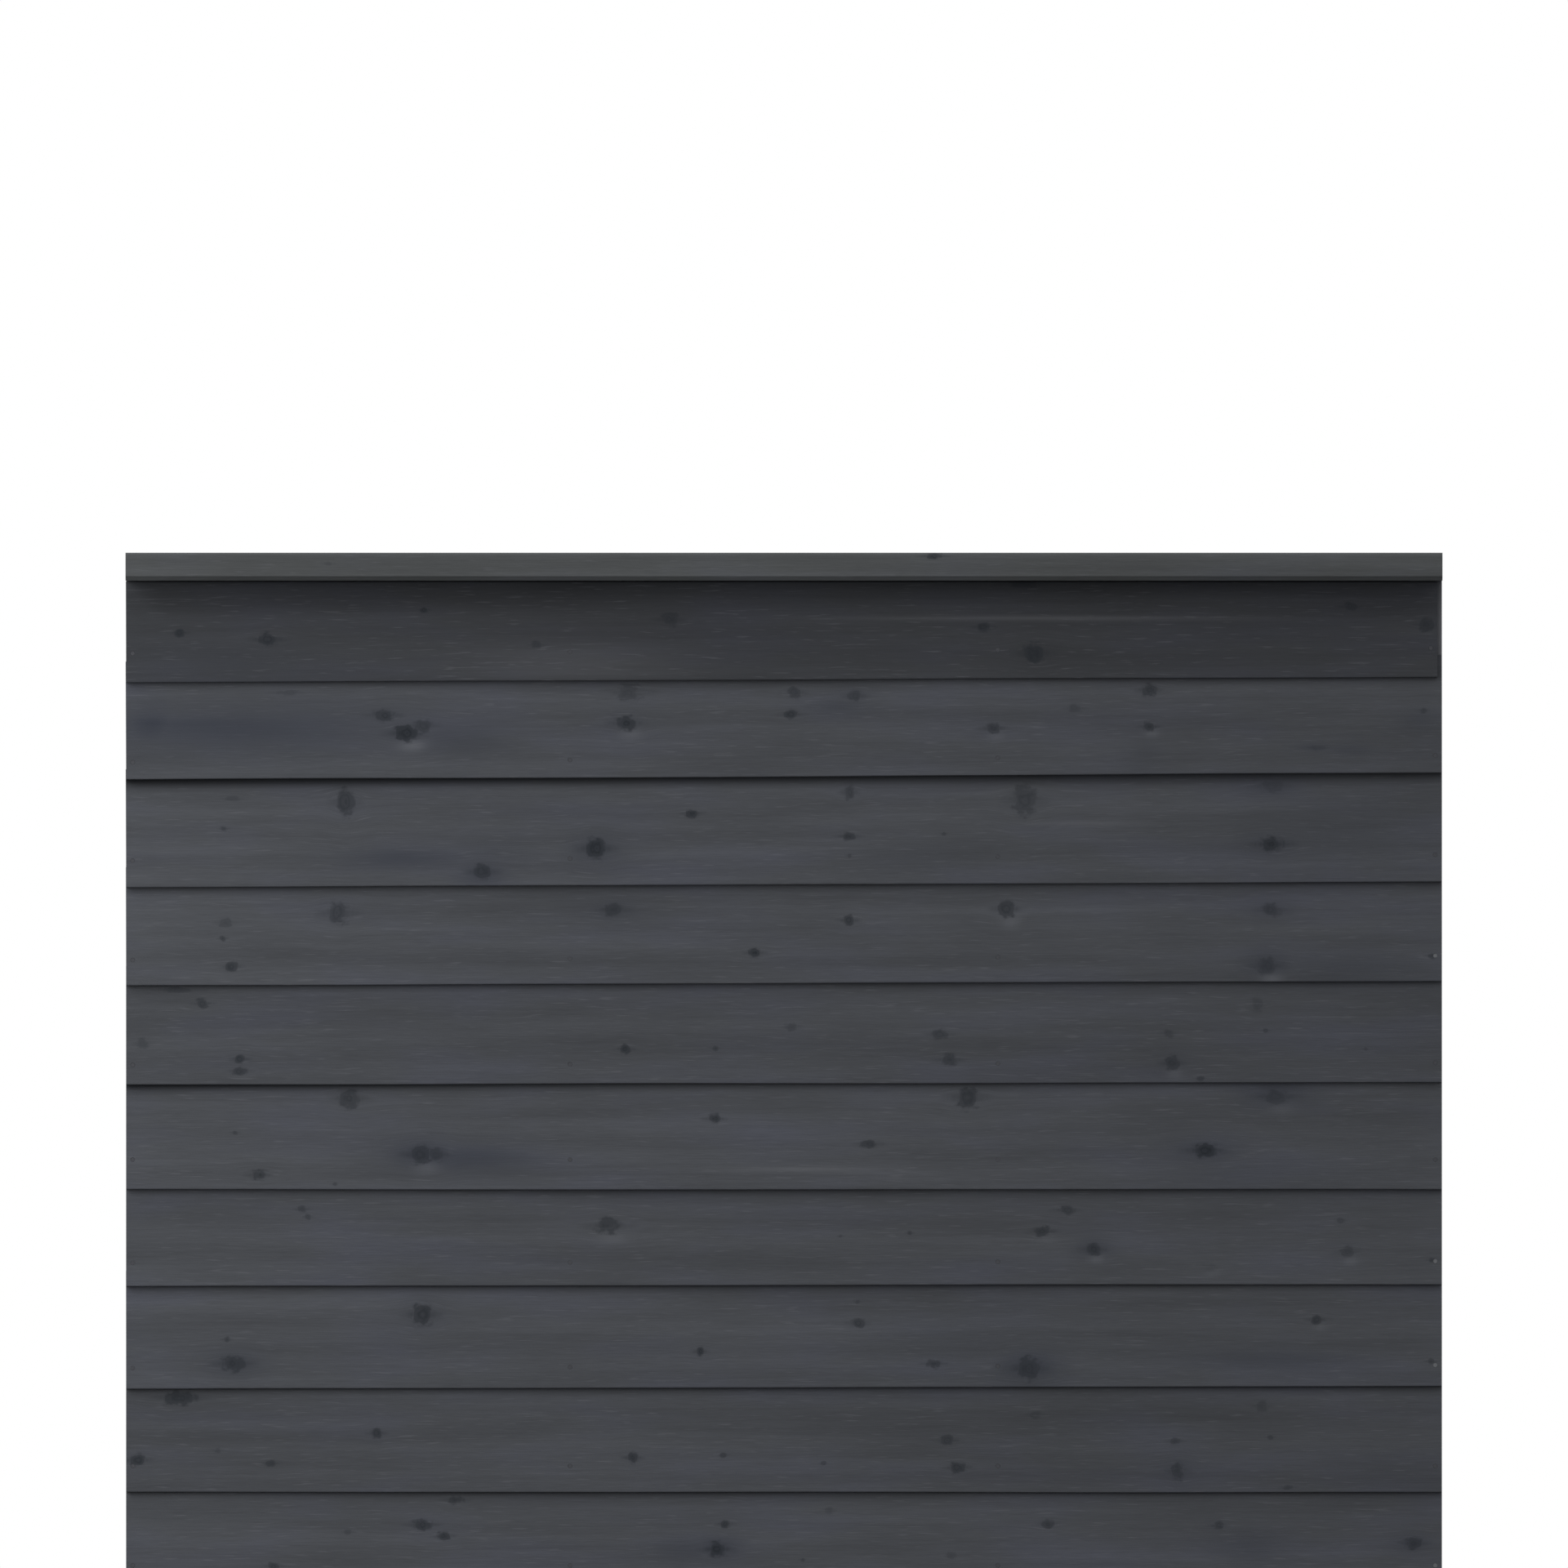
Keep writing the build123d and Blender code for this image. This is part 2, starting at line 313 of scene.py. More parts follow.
def measure_fastener(points):
    """Reads the head and the direction of one nail or screw from its points."""
    corners = np.unique(points.round(6), axis=0)
    middle = corners.mean(axis=0)
    axis = np.linalg.svd(corners - middle)[2][0]
    depth = (corners - middle) @ axis
    spread = np.linalg.norm((corners - middle) - np.outer(depth, axis), axis=1)
    if depth[spread.argmax()] < 0:
        axis, depth = -axis, -depth
    top = corners[depth > depth.max() - 0.1 * MM].mean(axis=0)
    return Fastener(Vector(top), Vector(axis), float(np.ptp(depth)))


NAIL_NODES = ("nails_stile_left", "nails_stud_1", "nails_stud_2", "nails_stile_right", "fillet_nails")
SCREW_NODES = ("cap_screws", "stile_screws", "stud_screws")
fasteners = {node: [measure_fastener(solid) for solid in solids_of(node)]
             for node in NAIL_NODES + SCREW_NODES}
for node, found in fasteners.items():
    print(node, len(found), "of", round(found[0].length / MM, 1), "mm, driven against",
          [round(c, 2) for c in found[0].out])

# %% [markdown]
# ## Growing timber with Geometry Nodes
# Boards and battens all follow one rule: a box of some length, sawn thinner towards its head. One
# tree of Geometry Nodes makes them all. It starts from a unit box with many rows, stretches and
# tapers it, lets the foot stray by less than a millimetre, and cups the front a little. A mesh made
# by hand would do as well, but a tree keeps the sizes as named inputs, set anew for each piece.


# %% Geometry tree helpers
SOCKETS = {float: "NodeSocketFloat", int: "NodeSocketInt", "object": "NodeSocketObject",
           "material": "NodeSocketMaterial"}


def new_tree(name, inputs):
    """An empty geometry tree with named inputs. Returns it and its input sockets."""
    tree = bpy.data.node_groups.new(name, "GeometryNodeTree")
    tree.interface.new_socket("Geometry", in_out="INPUT", socket_type="NodeSocketGeometry")
    for label, kind in inputs.items():
        tree.interface.new_socket(label, in_out="INPUT", socket_type=SOCKETS[kind])
    tree.interface.new_socket("Geometry", in_out="OUTPUT", socket_type="NodeSocketGeometry")
    return tree, add(tree, "NodeGroupInput").outputs


def store(mesh, label, values, domain="POINT"):
    """Stores numbers, or triples of numbers, as an attribute of a mesh."""
    values = np.array(values, np.float32)
    kind, field = ("FLOAT_VECTOR", "vector") if values.ndim == 2 else ("FLOAT", "value")
    mesh.attributes.new(label, kind, domain).data.foreach_set(field, values.ravel())


def use_tree(piece, tree, values):
    """Puts a tree on an object, with the values of its named inputs."""
    modifier = piece.modifiers.new(tree.name, "NODES")
    modifier.node_group = tree
    for socket in tree.interface.items_tree:
        if socket.in_out == "INPUT" and socket.name in values:
            modifier[socket.identifier] = values[socket.name]


def settle(piece):
    """Turns what the modifiers make into the object's own plain mesh."""
    evaluated = piece.evaluated_get(bpy.context.evaluated_depsgraph_get())
    mesh = bpy.data.meshes.new_from_object(evaluated)
    piece.modifiers.clear()
    piece.data = mesh
    mesh.name = piece.name
    drop_empty_slots(mesh)
    return mesh


def drop_empty_slots(mesh):
    """Removes the material slots that hold nothing, which a tree leaves in front of its own."""
    slots = list(mesh.materials)
    kept = [material for material in slots if material]
    slot_of_face = read(mesh.polygons, "material_index")
    new_slots = np.array([kept.index(material) if material else 0 for material in slots] or [0], np.int32)
    mesh.materials.clear()
    for material in kept:
        mesh.materials.append(material)
    mesh.polygons.foreach_set("material_index", new_slots[slot_of_face])


print("a tree takes inputs of", len(SOCKETS), "kinds")

# %% The timber tree
MATH = "ShaderNodeMath"
WANDER_WAVES_PER_METRE = 1.3
CUPS_PER_METRE = 5.0

tree, given = new_tree("sawn timber", {
    "Length": float, "Width Left": float, "Width Right": float, "Thick Edge": float, "Thin Edge": float,
    "Stations": int, "Rows": int, "Layers": int, "Foot Wander": float, "Cupping": float, "Seed": float,
    "Material": "material"})
unit_box = add(tree, "GeometryNodeMeshCube", {
    "Vertices X": given["Stations"], "Vertices Y": given["Layers"], "Vertices Z": given["Rows"]})

# The four long arrises are marked for easing, and the sawn ends stay sharp
corner = add(tree, "GeometryNodeInputPosition")
side = add(tree, "ShaderNodeSeparateXYZ", {0: corner}).outputs
on_arris = add(tree, MATH, {0: side["Y"], 1: side["Z"]}, operation="MULTIPLY")
on_arris = add(tree, MATH, {0: on_arris}, operation="ABSOLUTE")
on_arris = add(tree, MATH, {0: on_arris, 1: 0.2499}, operation="GREATER_THAN")
marked_box = add(tree, "GeometryNodeStoreNamedAttribute", {
    "Geometry": unit_box, "Name": "bevel_weight_edge", "Value": on_arris}, data_type="FLOAT", domain="EDGE")

# Each corner's share of the length, of the rise from foot to head, and of the depth from back to front
shares = add(tree, "ShaderNodeVectorMath", {0: corner, 1: (0.5, -0.5, 0.5)}, operation="ADD")
share = add(tree, "ShaderNodeSeparateXYZ", {0: shares}).outputs
run = add(tree, MATH, {0: side["X"], 1: given["Length"]}, operation="MULTIPLY")
width = add(tree, "ShaderNodeMix", {
    "Factor": share["X"], "A": given["Width Left"], "B": given["Width Right"]})
level = add(tree, MATH, {0: share["Z"], 1: width}, operation="MULTIPLY")
thickness = add(tree, "ShaderNodeMix", {
    "Factor": share["Z"], "A": given["Thick Edge"], "B": given["Thin Edge"]})

# The foot strays along the length, less and less towards the head
below_head = add(tree, MATH, {0: 1.0, 1: share["Z"]}, operation="SUBTRACT")
wander_place = add(tree, MATH, {0: run, 1: WANDER_WAVES_PER_METRE, 2: given["Seed"]},
                   operation="MULTIPLY_ADD")
wander = add(tree, "ShaderNodeTexNoise", {"W": wander_place, "Scale": 1.0, "Detail": 1.0},
             noise_dimensions="1D")
wander = add(tree, MATH, {0: wander, 1: 2.0, 2: -1.0}, operation="MULTIPLY_ADD")
wander = add(tree, MATH, {0: wander, 1: given["Foot Wander"]}, operation="MULTIPLY")
stray = add(tree, MATH, {0: wander, 1: below_head, 2: level}, operation="MULTIPLY_ADD")

# The front cups between foot and head, and stays true at both edges
flat_place = add(tree, "ShaderNodeCombineXYZ", {"X": run, "Y": given["Seed"], "Z": level})
cup = add(tree, "ShaderNodeTexNoise", {"Vector": flat_place, "Scale": CUPS_PER_METRE, "Detail": 2.0})
cup = add(tree, MATH, {0: cup, 1: 2.0, 2: -1.0}, operation="MULTIPLY_ADD")
cup = add(tree, MATH, {0: cup, 1: given["Cupping"]}, operation="MULTIPLY")
belly = add(tree, MATH, {0: share["Z"], 1: below_head}, operation="MULTIPLY")
cup = add(tree, MATH, {0: cup, 1: belly, 2: thickness}, operation="MULTIPLY_ADD")
front = add(tree, MATH, {0: share["Y"], 1: cup}, operation="MULTIPLY")

moved = add(tree, "ShaderNodeCombineXYZ", {"X": run, "Y": front, "Z": stray})
sawn = add(tree, "GeometryNodeSetPosition", {"Geometry": marked_box, "Position": moved})
solid = add(tree, "GeometryNodeRealizeInstances", {"Geometry": sawn})
finished = add(tree, "GeometryNodeSetMaterial", {"Geometry": solid, "Material": given["Material"]})
add(tree, "NodeGroupOutput", {"Geometry": finished})
timber_tree = tree
print("timber tree:", len(timber_tree.nodes), "nodes")

# %% [markdown]
# ## Driving nails and screws with Geometry Nodes
# Nails and screws repeat dozens of times. One of each is turned from its outline, as on a lathe, and
# a second tree copies it to every place that was found above: it points the copy along the way out,
# gives it a random turn from a fixed seed, and makes the copies real. The same tree drives slightly
# larger copies that drill the wood, so that each head lies in its own recess.


# %% Turned fasteners
SIDES = 20
HEAD_RIM = 0.25 * MM
NAIL_HEAD = 3.0 * MM
NAIL_HEAD_DEPTH = 1.0 * MM
NAIL_SHANK = 1.3 * MM
NAIL_POINT = 4 * MM
NAIL_TIP = 0.25 * MM
SCREW_HEAD = 5.0 * MM
SCREW_SHANK = 2.5 * MM
SCREW_POINT = 8 * MM
SCREW_TIP = 0.4 * MM
HOLE_CLEARANCE = 0.05 * MM
HOLE_OVERCUT = 1.0 * MM


def loft(name, rings):
    """A closed solid through rings of points. The first ring runs anticlockwise, seen from outside."""
    count = len(rings[0])
    points = [point for ring in rings for point in ring]
    faces = [tuple(range(count)), tuple(reversed(range(len(points) - count, len(points))))]
    for start in range(0, len(points) - count, count):
        for side in range(count):
            after = (side + 1) % count
            faces.append((start + side, start + count + side, start + count + after, start + after))
    mesh = bpy.data.meshes.new(name)
    mesh.from_pydata(points, [], faces)
    return new_piece(name, mesh)


def lathe(name, outline):
    """A solid turned about Z from (radius, depth) pairs, from the top down."""
    turn = np.linspace(0, 2 * np.pi, SIDES, endpoint=False)
    return loft(name, [[(radius * math.cos(angle), radius * math.sin(angle), -depth) for angle in turn]
                       for radius, depth in outline])


def nail_outline(length, grow=0.0, overcut=0.0):
    """A flat nail head with a worn rim, a straight shank and a point. All in metres."""
    head = NAIL_HEAD + grow
    shank = NAIL_SHANK + grow
    top = [(head, -overcut)] if overcut else [(head - HEAD_RIM, 0), (head, HEAD_RIM)]
    return top + [(head, NAIL_HEAD_DEPTH), (shank, NAIL_HEAD_DEPTH), (shank, length - NAIL_POINT),
                  (NAIL_TIP + grow, length)]


def screw_outline(length, grow=0.0, overcut=0.0):
    """A countersunk head with a thin rim, a straight shank and a point. All in metres."""
    head = SCREW_HEAD + grow
    shank = SCREW_SHANK + grow
    neck = head - shank
    top = [(head + overcut, -overcut)] if overcut else [(head - HEAD_RIM, 0), (head, HEAD_RIM)]
    return top + [(shank, neck + HEAD_RIM), (shank, length - SCREW_POINT), (SCREW_TIP + grow, length)]


print("heads, mm across: nail", 2 * NAIL_HEAD / MM, "screw", 2 * SCREW_HEAD / MM)


# %% The driving tree
tree, given = new_tree("driven fasteners", {
    "Fastener": "object", "Seed": int, "Material": "material", "Bare Material": "material"})
source = add(tree, "GeometryNodeObjectInfo", {"Object": given["Fastener"]}).outputs["Geometry"]
way_out = add(tree, "GeometryNodeInputNamedAttribute", {"Name": "out"}, data_type="FLOAT_VECTOR")
aligned = add(tree, "FunctionNodeAlignRotationToVector", {"Vector": way_out}, axis="Z")
random_turn = add(tree, "FunctionNodeRandomValue", {3: 2 * math.pi, "Seed": given["Seed"]})
random_turn = add(tree, "ShaderNodeCombineXYZ", {"Z": random_turn.outputs[1]})
random_turn = add(tree, "FunctionNodeEulerToRotation", {0: random_turn})
turned = add(tree, "FunctionNodeRotateRotation", {0: aligned, 1: random_turn}, rotation_space="LOCAL")
driven = add(tree, "GeometryNodeInstanceOnPoints", {
    "Points": given["Geometry"], "Instance": source, "Rotation": turned})
driven = add(tree, "GeometryNodeRealizeInstances", {"Geometry": driven})
coated = add(tree, "GeometryNodeSetMaterial", {"Geometry": driven, "Material": given["Material"]})
is_bare = add(tree, "GeometryNodeInputNamedAttribute", {"Name": "bare"}, data_type="BOOLEAN")
coated = add(tree, "GeometryNodeSetMaterial", {
    "Geometry": coated, "Selection": is_bare, "Material": given["Bare Material"]})
add(tree, "NodeGroupOutput", {"Geometry": coated})
driving_tree = tree


def drive(name, source, places, bare=(), seed=0, **materials):
    """Copies of a turned fastener at these places, as one plain mesh."""
    mesh = bpy.data.meshes.new(name)
    mesh.from_pydata([place.head for place in places], [], [])
    store(mesh, "out", [place.out for place in places])
    mesh.attributes.new("bare", "BOOLEAN", "POINT").data.foreach_set(
        "value", [place in bare for place in places])
    piece = new_piece(name, mesh)
    use_tree(piece, driving_tree, {"Fastener": source, "Seed": seed} | materials)
    settle(piece)
    return piece


print("driving tree:", len(driving_tree.nodes), "nodes, fasteners with", SIDES, "sides")

# %% [markdown]
# ## Knots and stain marks
# Under the stain the spruce still shows its knots: dark, often with a blue-green bloom where the
# stain soaked in, and with a paler flare beside some of them. They were placed from the
# photograph, in its pixels: across, down, then width and height. The last three values say how dark
# the knot is, how strong its bloom and how strong its flare. The battens and the boards below the
# picture get knots from a fixed seed instead.


# %% Knots, listed
class Knot(NamedTuple):
    """A knot in the photograph's pixels, and how it took the stain."""

    x: float
    y: float
    width: float
    height: float
    dark: float = 0.8
    bloom: float = 0.0
    flare: float = 0.0


KNOTS = {
    "cap_board": [
        (1144, 681, 18, 7, 0.8), (402, 690, 9, 5, 0.35)],
    "board_01": [
        (220, 775, 11, 9, 0.9), (328, 783, 22, 14, 0.9), (519, 747, 8, 6), (657, 790, 12, 8, 0.7),
        (820, 759, 20, 15, 0.6), (1205, 768, 14, 10), (1266, 800, 24, 22, 0.9),
        (1255, 715, 30, 10, 0.6), (1653, 743, 14, 10, 0.6), (1747, 765, 18, 14, 0.7)],
    "board_02": [
        (353, 848, 24, 6, 0.35), (470, 876, 22, 14, 0.8, 0.5), (498, 898, 26, 18, 1, 0.8, 0.9),
        (517, 889, 20, 14, 0.6, 0.6), (770, 848, 28, 18, 0.5), (767, 886, 22, 16, 0.9, 0.3, 0.6),
        (972, 848, 16, 14, 0.6), (969, 875, 16, 10), (1047, 852, 14, 12, 0.55, 0.4),
        (1216, 892, 16, 12, 0.7, 0.2, 0.6), (1316, 867, 14, 10, 0.4), (1408, 845, 18, 14, 0.75),
        (1407, 890, 14, 10, 0.8, 0.2, 0.7), (1743, 870, 8, 7, 0.5), (1613, 916, 26, 5, 0.35)],
    "board_03": [
        (285, 978, 16, 6, 0.35), (274, 1015, 7, 6, 0.7), (423, 982, 18, 32, 0.75),
        (590, 1068, 20, 16, 0.75, 0.9), (730, 1039, 22, 22, 0.95, 0.7), (848, 996, 14, 9, 0.9),
        (1040, 970, 12, 18, 0.6), (1038, 1024, 16, 9), (1040, 1048, 5, 5, 0.5), (1156, 1021, 5, 4, 0.5),
        (1255, 980, 26, 36, 0.6), (1558, 963, 24, 14, 0.35, 0.6), (1557, 1034, 26, 16, 0.95, 0.8)],
    "board_04": [
        (276, 1130, 14, 10, 0.45), (273, 1149, 7, 6, 0.7), (284, 1184, 13, 12),
        (414, 1118, 24, 24, 0.65), (751, 1114, 20, 14, 0.65, 0.8), (924, 1167, 13, 11, 0.95),
        (1039, 1127, 13, 11), (1233, 1113, 19, 19, 0.75, 0, 0.6), (1557, 1114, 20, 14, 0.6, 0.4),
        (1552, 1183, 22, 20, 0.55, 0.9, 0.8), (1753, 1171, 8, 6, 0.6)],
    "board_05": [
        (216, 1212, 30, 6, 0.5), (248, 1229, 14, 11, 0.7), (174, 1278, 14, 12, 0.4),
        (294, 1297, 12, 10, 0.85), (293, 1312, 16, 9, 0.75), (765, 1285, 12, 11, 0.85),
        (876, 1284, 7, 6, 0.6), (968, 1257, 13, 9, 0.45), (1150, 1267, 18, 11, 0.6),
        (1163, 1298, 18, 13, 0.7), (1431, 1266, 12, 9, 0.45), (1435, 1302, 16, 16, 0.7, 0.4, 0.5),
        (1470, 1321, 8, 6, 0.6), (1539, 1230, 12, 20, 0.35), (1550, 1262, 6, 5, 0.5),
        (1672, 1285, 5, 4, 0.4)],
    "board_06": [
        (428, 1345, 22, 22, 0.7), (288, 1387, 6, 5, 0.6), (318, 1439, 16, 12),
        (516, 1414, 26, 20, 0.75, 1, 0.5), (536, 1414, 18, 16, 0.6, 0.9), (875, 1370, 14, 10, 0.85),
        (410, 1450, 5, 4, 0.5), (1065, 1401, 18, 10, 0.75), (1185, 1344, 24, 24, 0.75),
        (1475, 1409, 26, 16, 1, 0.8), (1562, 1343, 28, 18, 0.5, 0.8, 0.4)],
    "board_07": [
        (370, 1481, 10, 8, 0.55), (377, 1490, 8, 7, 0.55), (744, 1501, 28, 18, 0.75, 0, 0.5),
        (1029, 1514, 5, 4, 0.5), (1114, 1510, 6, 5, 0.6), (1307, 1482, 18, 10, 0.65),
        (1276, 1508, 18, 11, 0.75, 0, 0.4), (1339, 1530, 16, 14, 0.75, 0.7, 0.7),
        (1481, 1552, 14, 10, 0.15, 0, 0.4), (1642, 1495, 8, 6, 0.4),
        (1650, 1533, 14, 14, 0.5, 0.2, 0.6), (1754, 1543, 8, 6, 0.6)],
    "board_08": [
        (278, 1640, 7, 6, 0.6), (286, 1670, 24, 18, 0.8, 0.8), (517, 1610, 22, 24, 0.85, 0.3),
        (858, 1655, 9, 11, 0.9), (1050, 1620, 14, 12, 0.7), (1050, 1594, 5, 5, 0.4),
        (1144, 1670, 17, 9, 0.75), (1259, 1676, 26, 26, 0.7, 0.9), (1613, 1616, 14, 11, 0.75, 0, 0.5),
        (1752, 1667, 8, 6, 0.6)],
    "board_09": [
        (220, 1712, 32, 16, 0.85), (168, 1788, 17, 13, 0.85), (266, 1776, 8, 6, 0.4),
        (332, 1792, 11, 8, 0.7), (461, 1755, 12, 12), (775, 1785, 13, 12, 0.85), (886, 1782, 7, 6, 0.6),
        (1160, 1764, 18, 12, 0.65), (1173, 1797, 17, 12), (1439, 1765, 11, 8, 0.55),
        (1442, 1802, 14, 20, 0.65, 0.4), (1268, 1733, 12, 9, 0.35), (1545, 1722, 12, 14, 0.4),
        (1556, 1760, 6, 5, 0.5), (1577, 1821, 10, 6, 0.5), (1008, 1792, 6, 5, 0.5)],
    "board_10": [
        (558, 1837, 16, 9, 0.7), (517, 1867, 21, 12, 0.85), (542, 1881, 14, 10, 0.85),
        (426, 1876, 8, 6, 0.4), (335, 1918, 12, 9, 0.7), (888, 1866, 11, 9),
        (878, 1897, 20, 16, 0.9, 0.9), (1015, 1850, 10, 8, 0.35), (1283, 1866, 14, 11, 0.7),
        (1492, 1868, 12, 9, 0.6, 0.4), (1730, 1890, 18, 14, 0.7, 0.7), (983, 1910, 5, 4, 0.5),
        (1165, 1905, 10, 7, 0.35)],
}

# Soft blue patches where the sapwood drank more stain: middle, half width, half height, strength
BLUE_PATCHES = [
    (280, 894, 210, 34, 1.0), (185, 888, 40, 32, 1.1), (260, 812, 130, 30, 0.35),
    (560, 905, 70, 24, 0.7), (1740, 884, 30, 16, 0.6), (1030, 866, 40, 10, 0.6),
    (1610, 915, 22, 6, 0.6), (1655, 919, 30, 8, 0.7), (1402, 926, 26, 26, 0.4),
    (492, 1052, 80, 14, 0.9), (600, 1044, 60, 22, 0.4), (1120, 1052, 70, 20, 0.3),
    (1640, 1020, 120, 40, 0.4), (1650, 1187, 110, 22, 0.6), (745, 1112, 50, 16, 0.4),
    (570, 1420, 90, 20, 0.9), (1520, 1440, 140, 20, 0.4), (1560, 1665, 130, 14, 0.6),
    (1530, 1892, 45, 22, 0.6), (1180, 1650, 110, 30, 0.3), (840, 1900, 50, 16, 0.7),
    (1700, 1800, 70, 24, 0.3),
]

# Pale wear, and a pale strip of painted light on the right stile in the shaded gap beside the top board:
# the piece, then the middle, half width, half height and strength
WORN_AND_LIT_PATCHES = [
    ("stile_right", 1764, 780, 5, 58, 0.45), ("board_01", 1280, 757, 230, 3, 0.16),
    ("board_01", 700, 812, 120, 24, 0.08),
    ("board_03", 1330, 1008, 60, 3, 0.12), ("board_06", 980, 1432, 90, 3, 0.12),
]

# A painted shadow below the foot of the board above, deeper than the lap's own shade: how far down it
# reaches, and its strength at left and right.
# Where the strength falls below nothing, the painted shadow has ended.
PAINTED_LAP_SHADOWS = {"board_03": (9.5 * MM, 1.0, 0.5), "board_06": (8.0 * MM, 0.9, -0.9)}

# A knot fades from the front and the back of its piece inwards, over this depth
KNOT_FADE = 14 * MM

# How light each board's stain is, against the others. The top board's value also holds painted shade from
# the cap above it
STAIN_TONES_AND_CAP_SHADE = {"board_01": 0.63, "board_05": 0.93, "board_09": 0.94}
print(sum(len(found) for found in KNOTS.values()), "knots on", len(KNOTS), "pieces")

# %% [markdown]
# ## Painting the wood into the mesh
# A shader can't know where a knot is, but a mesh can carry that. For each corner the script stores
# the distance along and across the grain, bent round the knots as real fibres are, how much bloom,
# flare, wear, painted light and painted lap shadow lies there, the tone with painted shade on the top
# board, and where the corner lies as seen from the nearest knot.
# An image would carry the same, but it would be tied to one size, and the mesh isn't.


# %% Knots in the frame of their piece
# Timber per scattered knot in square metres, and the knot's least and greatest size
TIMBER_PER_KNOT = 0.025
KNOT_SIZES_MM = (3, 13)


def local_points(mesh, place):
    """The corners of a mesh in the frame of its piece of timber."""
    back = np.array(place.inverted())
    return mesh_points(mesh) @ back[:3, :3].T + back[:3, 3]


def knots_of(name, timber, seed):
    """A piece's knots in its own frame: along, up, half width, half height, dark, bloom, flare."""
    found = []
    half = metres_per_pixel / 2
    for knot in (Knot(*values) for values in KNOTS.get(name, [])):
        x, z = photo_to_panel(knot.x, knot.y)
        spot = timber.place.inverted() @ Vector((x, timber.place.translation.y, z))
        found.append((spot.x, spot.z, knot.width * half, knot.height * half,
                      knot.dark, knot.bloom, knot.flare))
    if not found:
        rng = np.random.default_rng(seed)
        for _ in range(max(2, int(timber.length * timber.width_left / TIMBER_PER_KNOT))):
            size = rng.uniform(*KNOT_SIZES_MM) * MM
            found.append((
                rng.uniform(-0.5, 0.5) * timber.length, rng.uniform(0.1, 0.9) * timber.width_left,
                size, size * rng.uniform(0.5, 0.9), rng.uniform(0.4, 0.9), rng.uniform(0, 0.7),
                rng.uniform(0, 0.5)))
    return found


print("scattered knots: one to", TIMBER_PER_KNOT, "square metres of timber")


# %% Nearest knots
def place_knots(mesh, local, knots, shown):
    """Stores, at each face's corners, where they lie as seen from the face's nearest knot.

    Within a face these places run evenly, so a shader can draw a knot's edge finer than the mesh.
    The third value is the knot's darkness, times the share of it that is shown at each corner.
    """
    corner_vertex = read(mesh.loops, "vertex_index")
    corners_in_face = read(mesh.polygons, "loop_total")
    face_of_corner = np.repeat(np.arange(len(mesh.polygons)), corners_in_face)
    flat = local[corner_vertex][:, [0, 2]]
    middle = np.stack([np.bincount(face_of_corner, axis) for axis in flat.T], axis=1)
    middle /= corners_in_face[:, None]
    x, z, half_width, half_height, dark = np.array(knots).T[:5]
    reach = np.hypot((middle[:, :1] - x) / half_width, (middle[:, 1:] - z) / half_height)
    nearest = reach.argmin(axis=1)[face_of_corner]
    seen_from = np.stack([(flat[:, 0] - x[nearest]) / half_width[nearest],
                          (flat[:, 1] - z[nearest]) / half_height[nearest],
                          dark[nearest] * shown[corner_vertex]], axis=1)
    store(mesh, "knot_place", seen_from, "CORNER")


print("a knot fades over", KNOT_FADE / MM, "mm from the front and the back of its piece")

# %% Grain and marks
# Where a knot's marks lie and how far they reach, in its half widths along and half heights across
BLOOM_REACH = (3.2, 2.0)
FLARE_MIDDLE = (0.5, -1.7)
FLARE_REACH = (1.2, 0.8)
BEND_REACH = (2.6, 2.5)

# Each piece reads the patterns this many metres further on, along and across
PATTERN_STEP = (3.1, 0.7)


def soft_spot(right, high):
    """A spot that is full in its middle and fades to nothing at about twice its reach."""
    return np.exp(-right ** 2 - high ** 2)


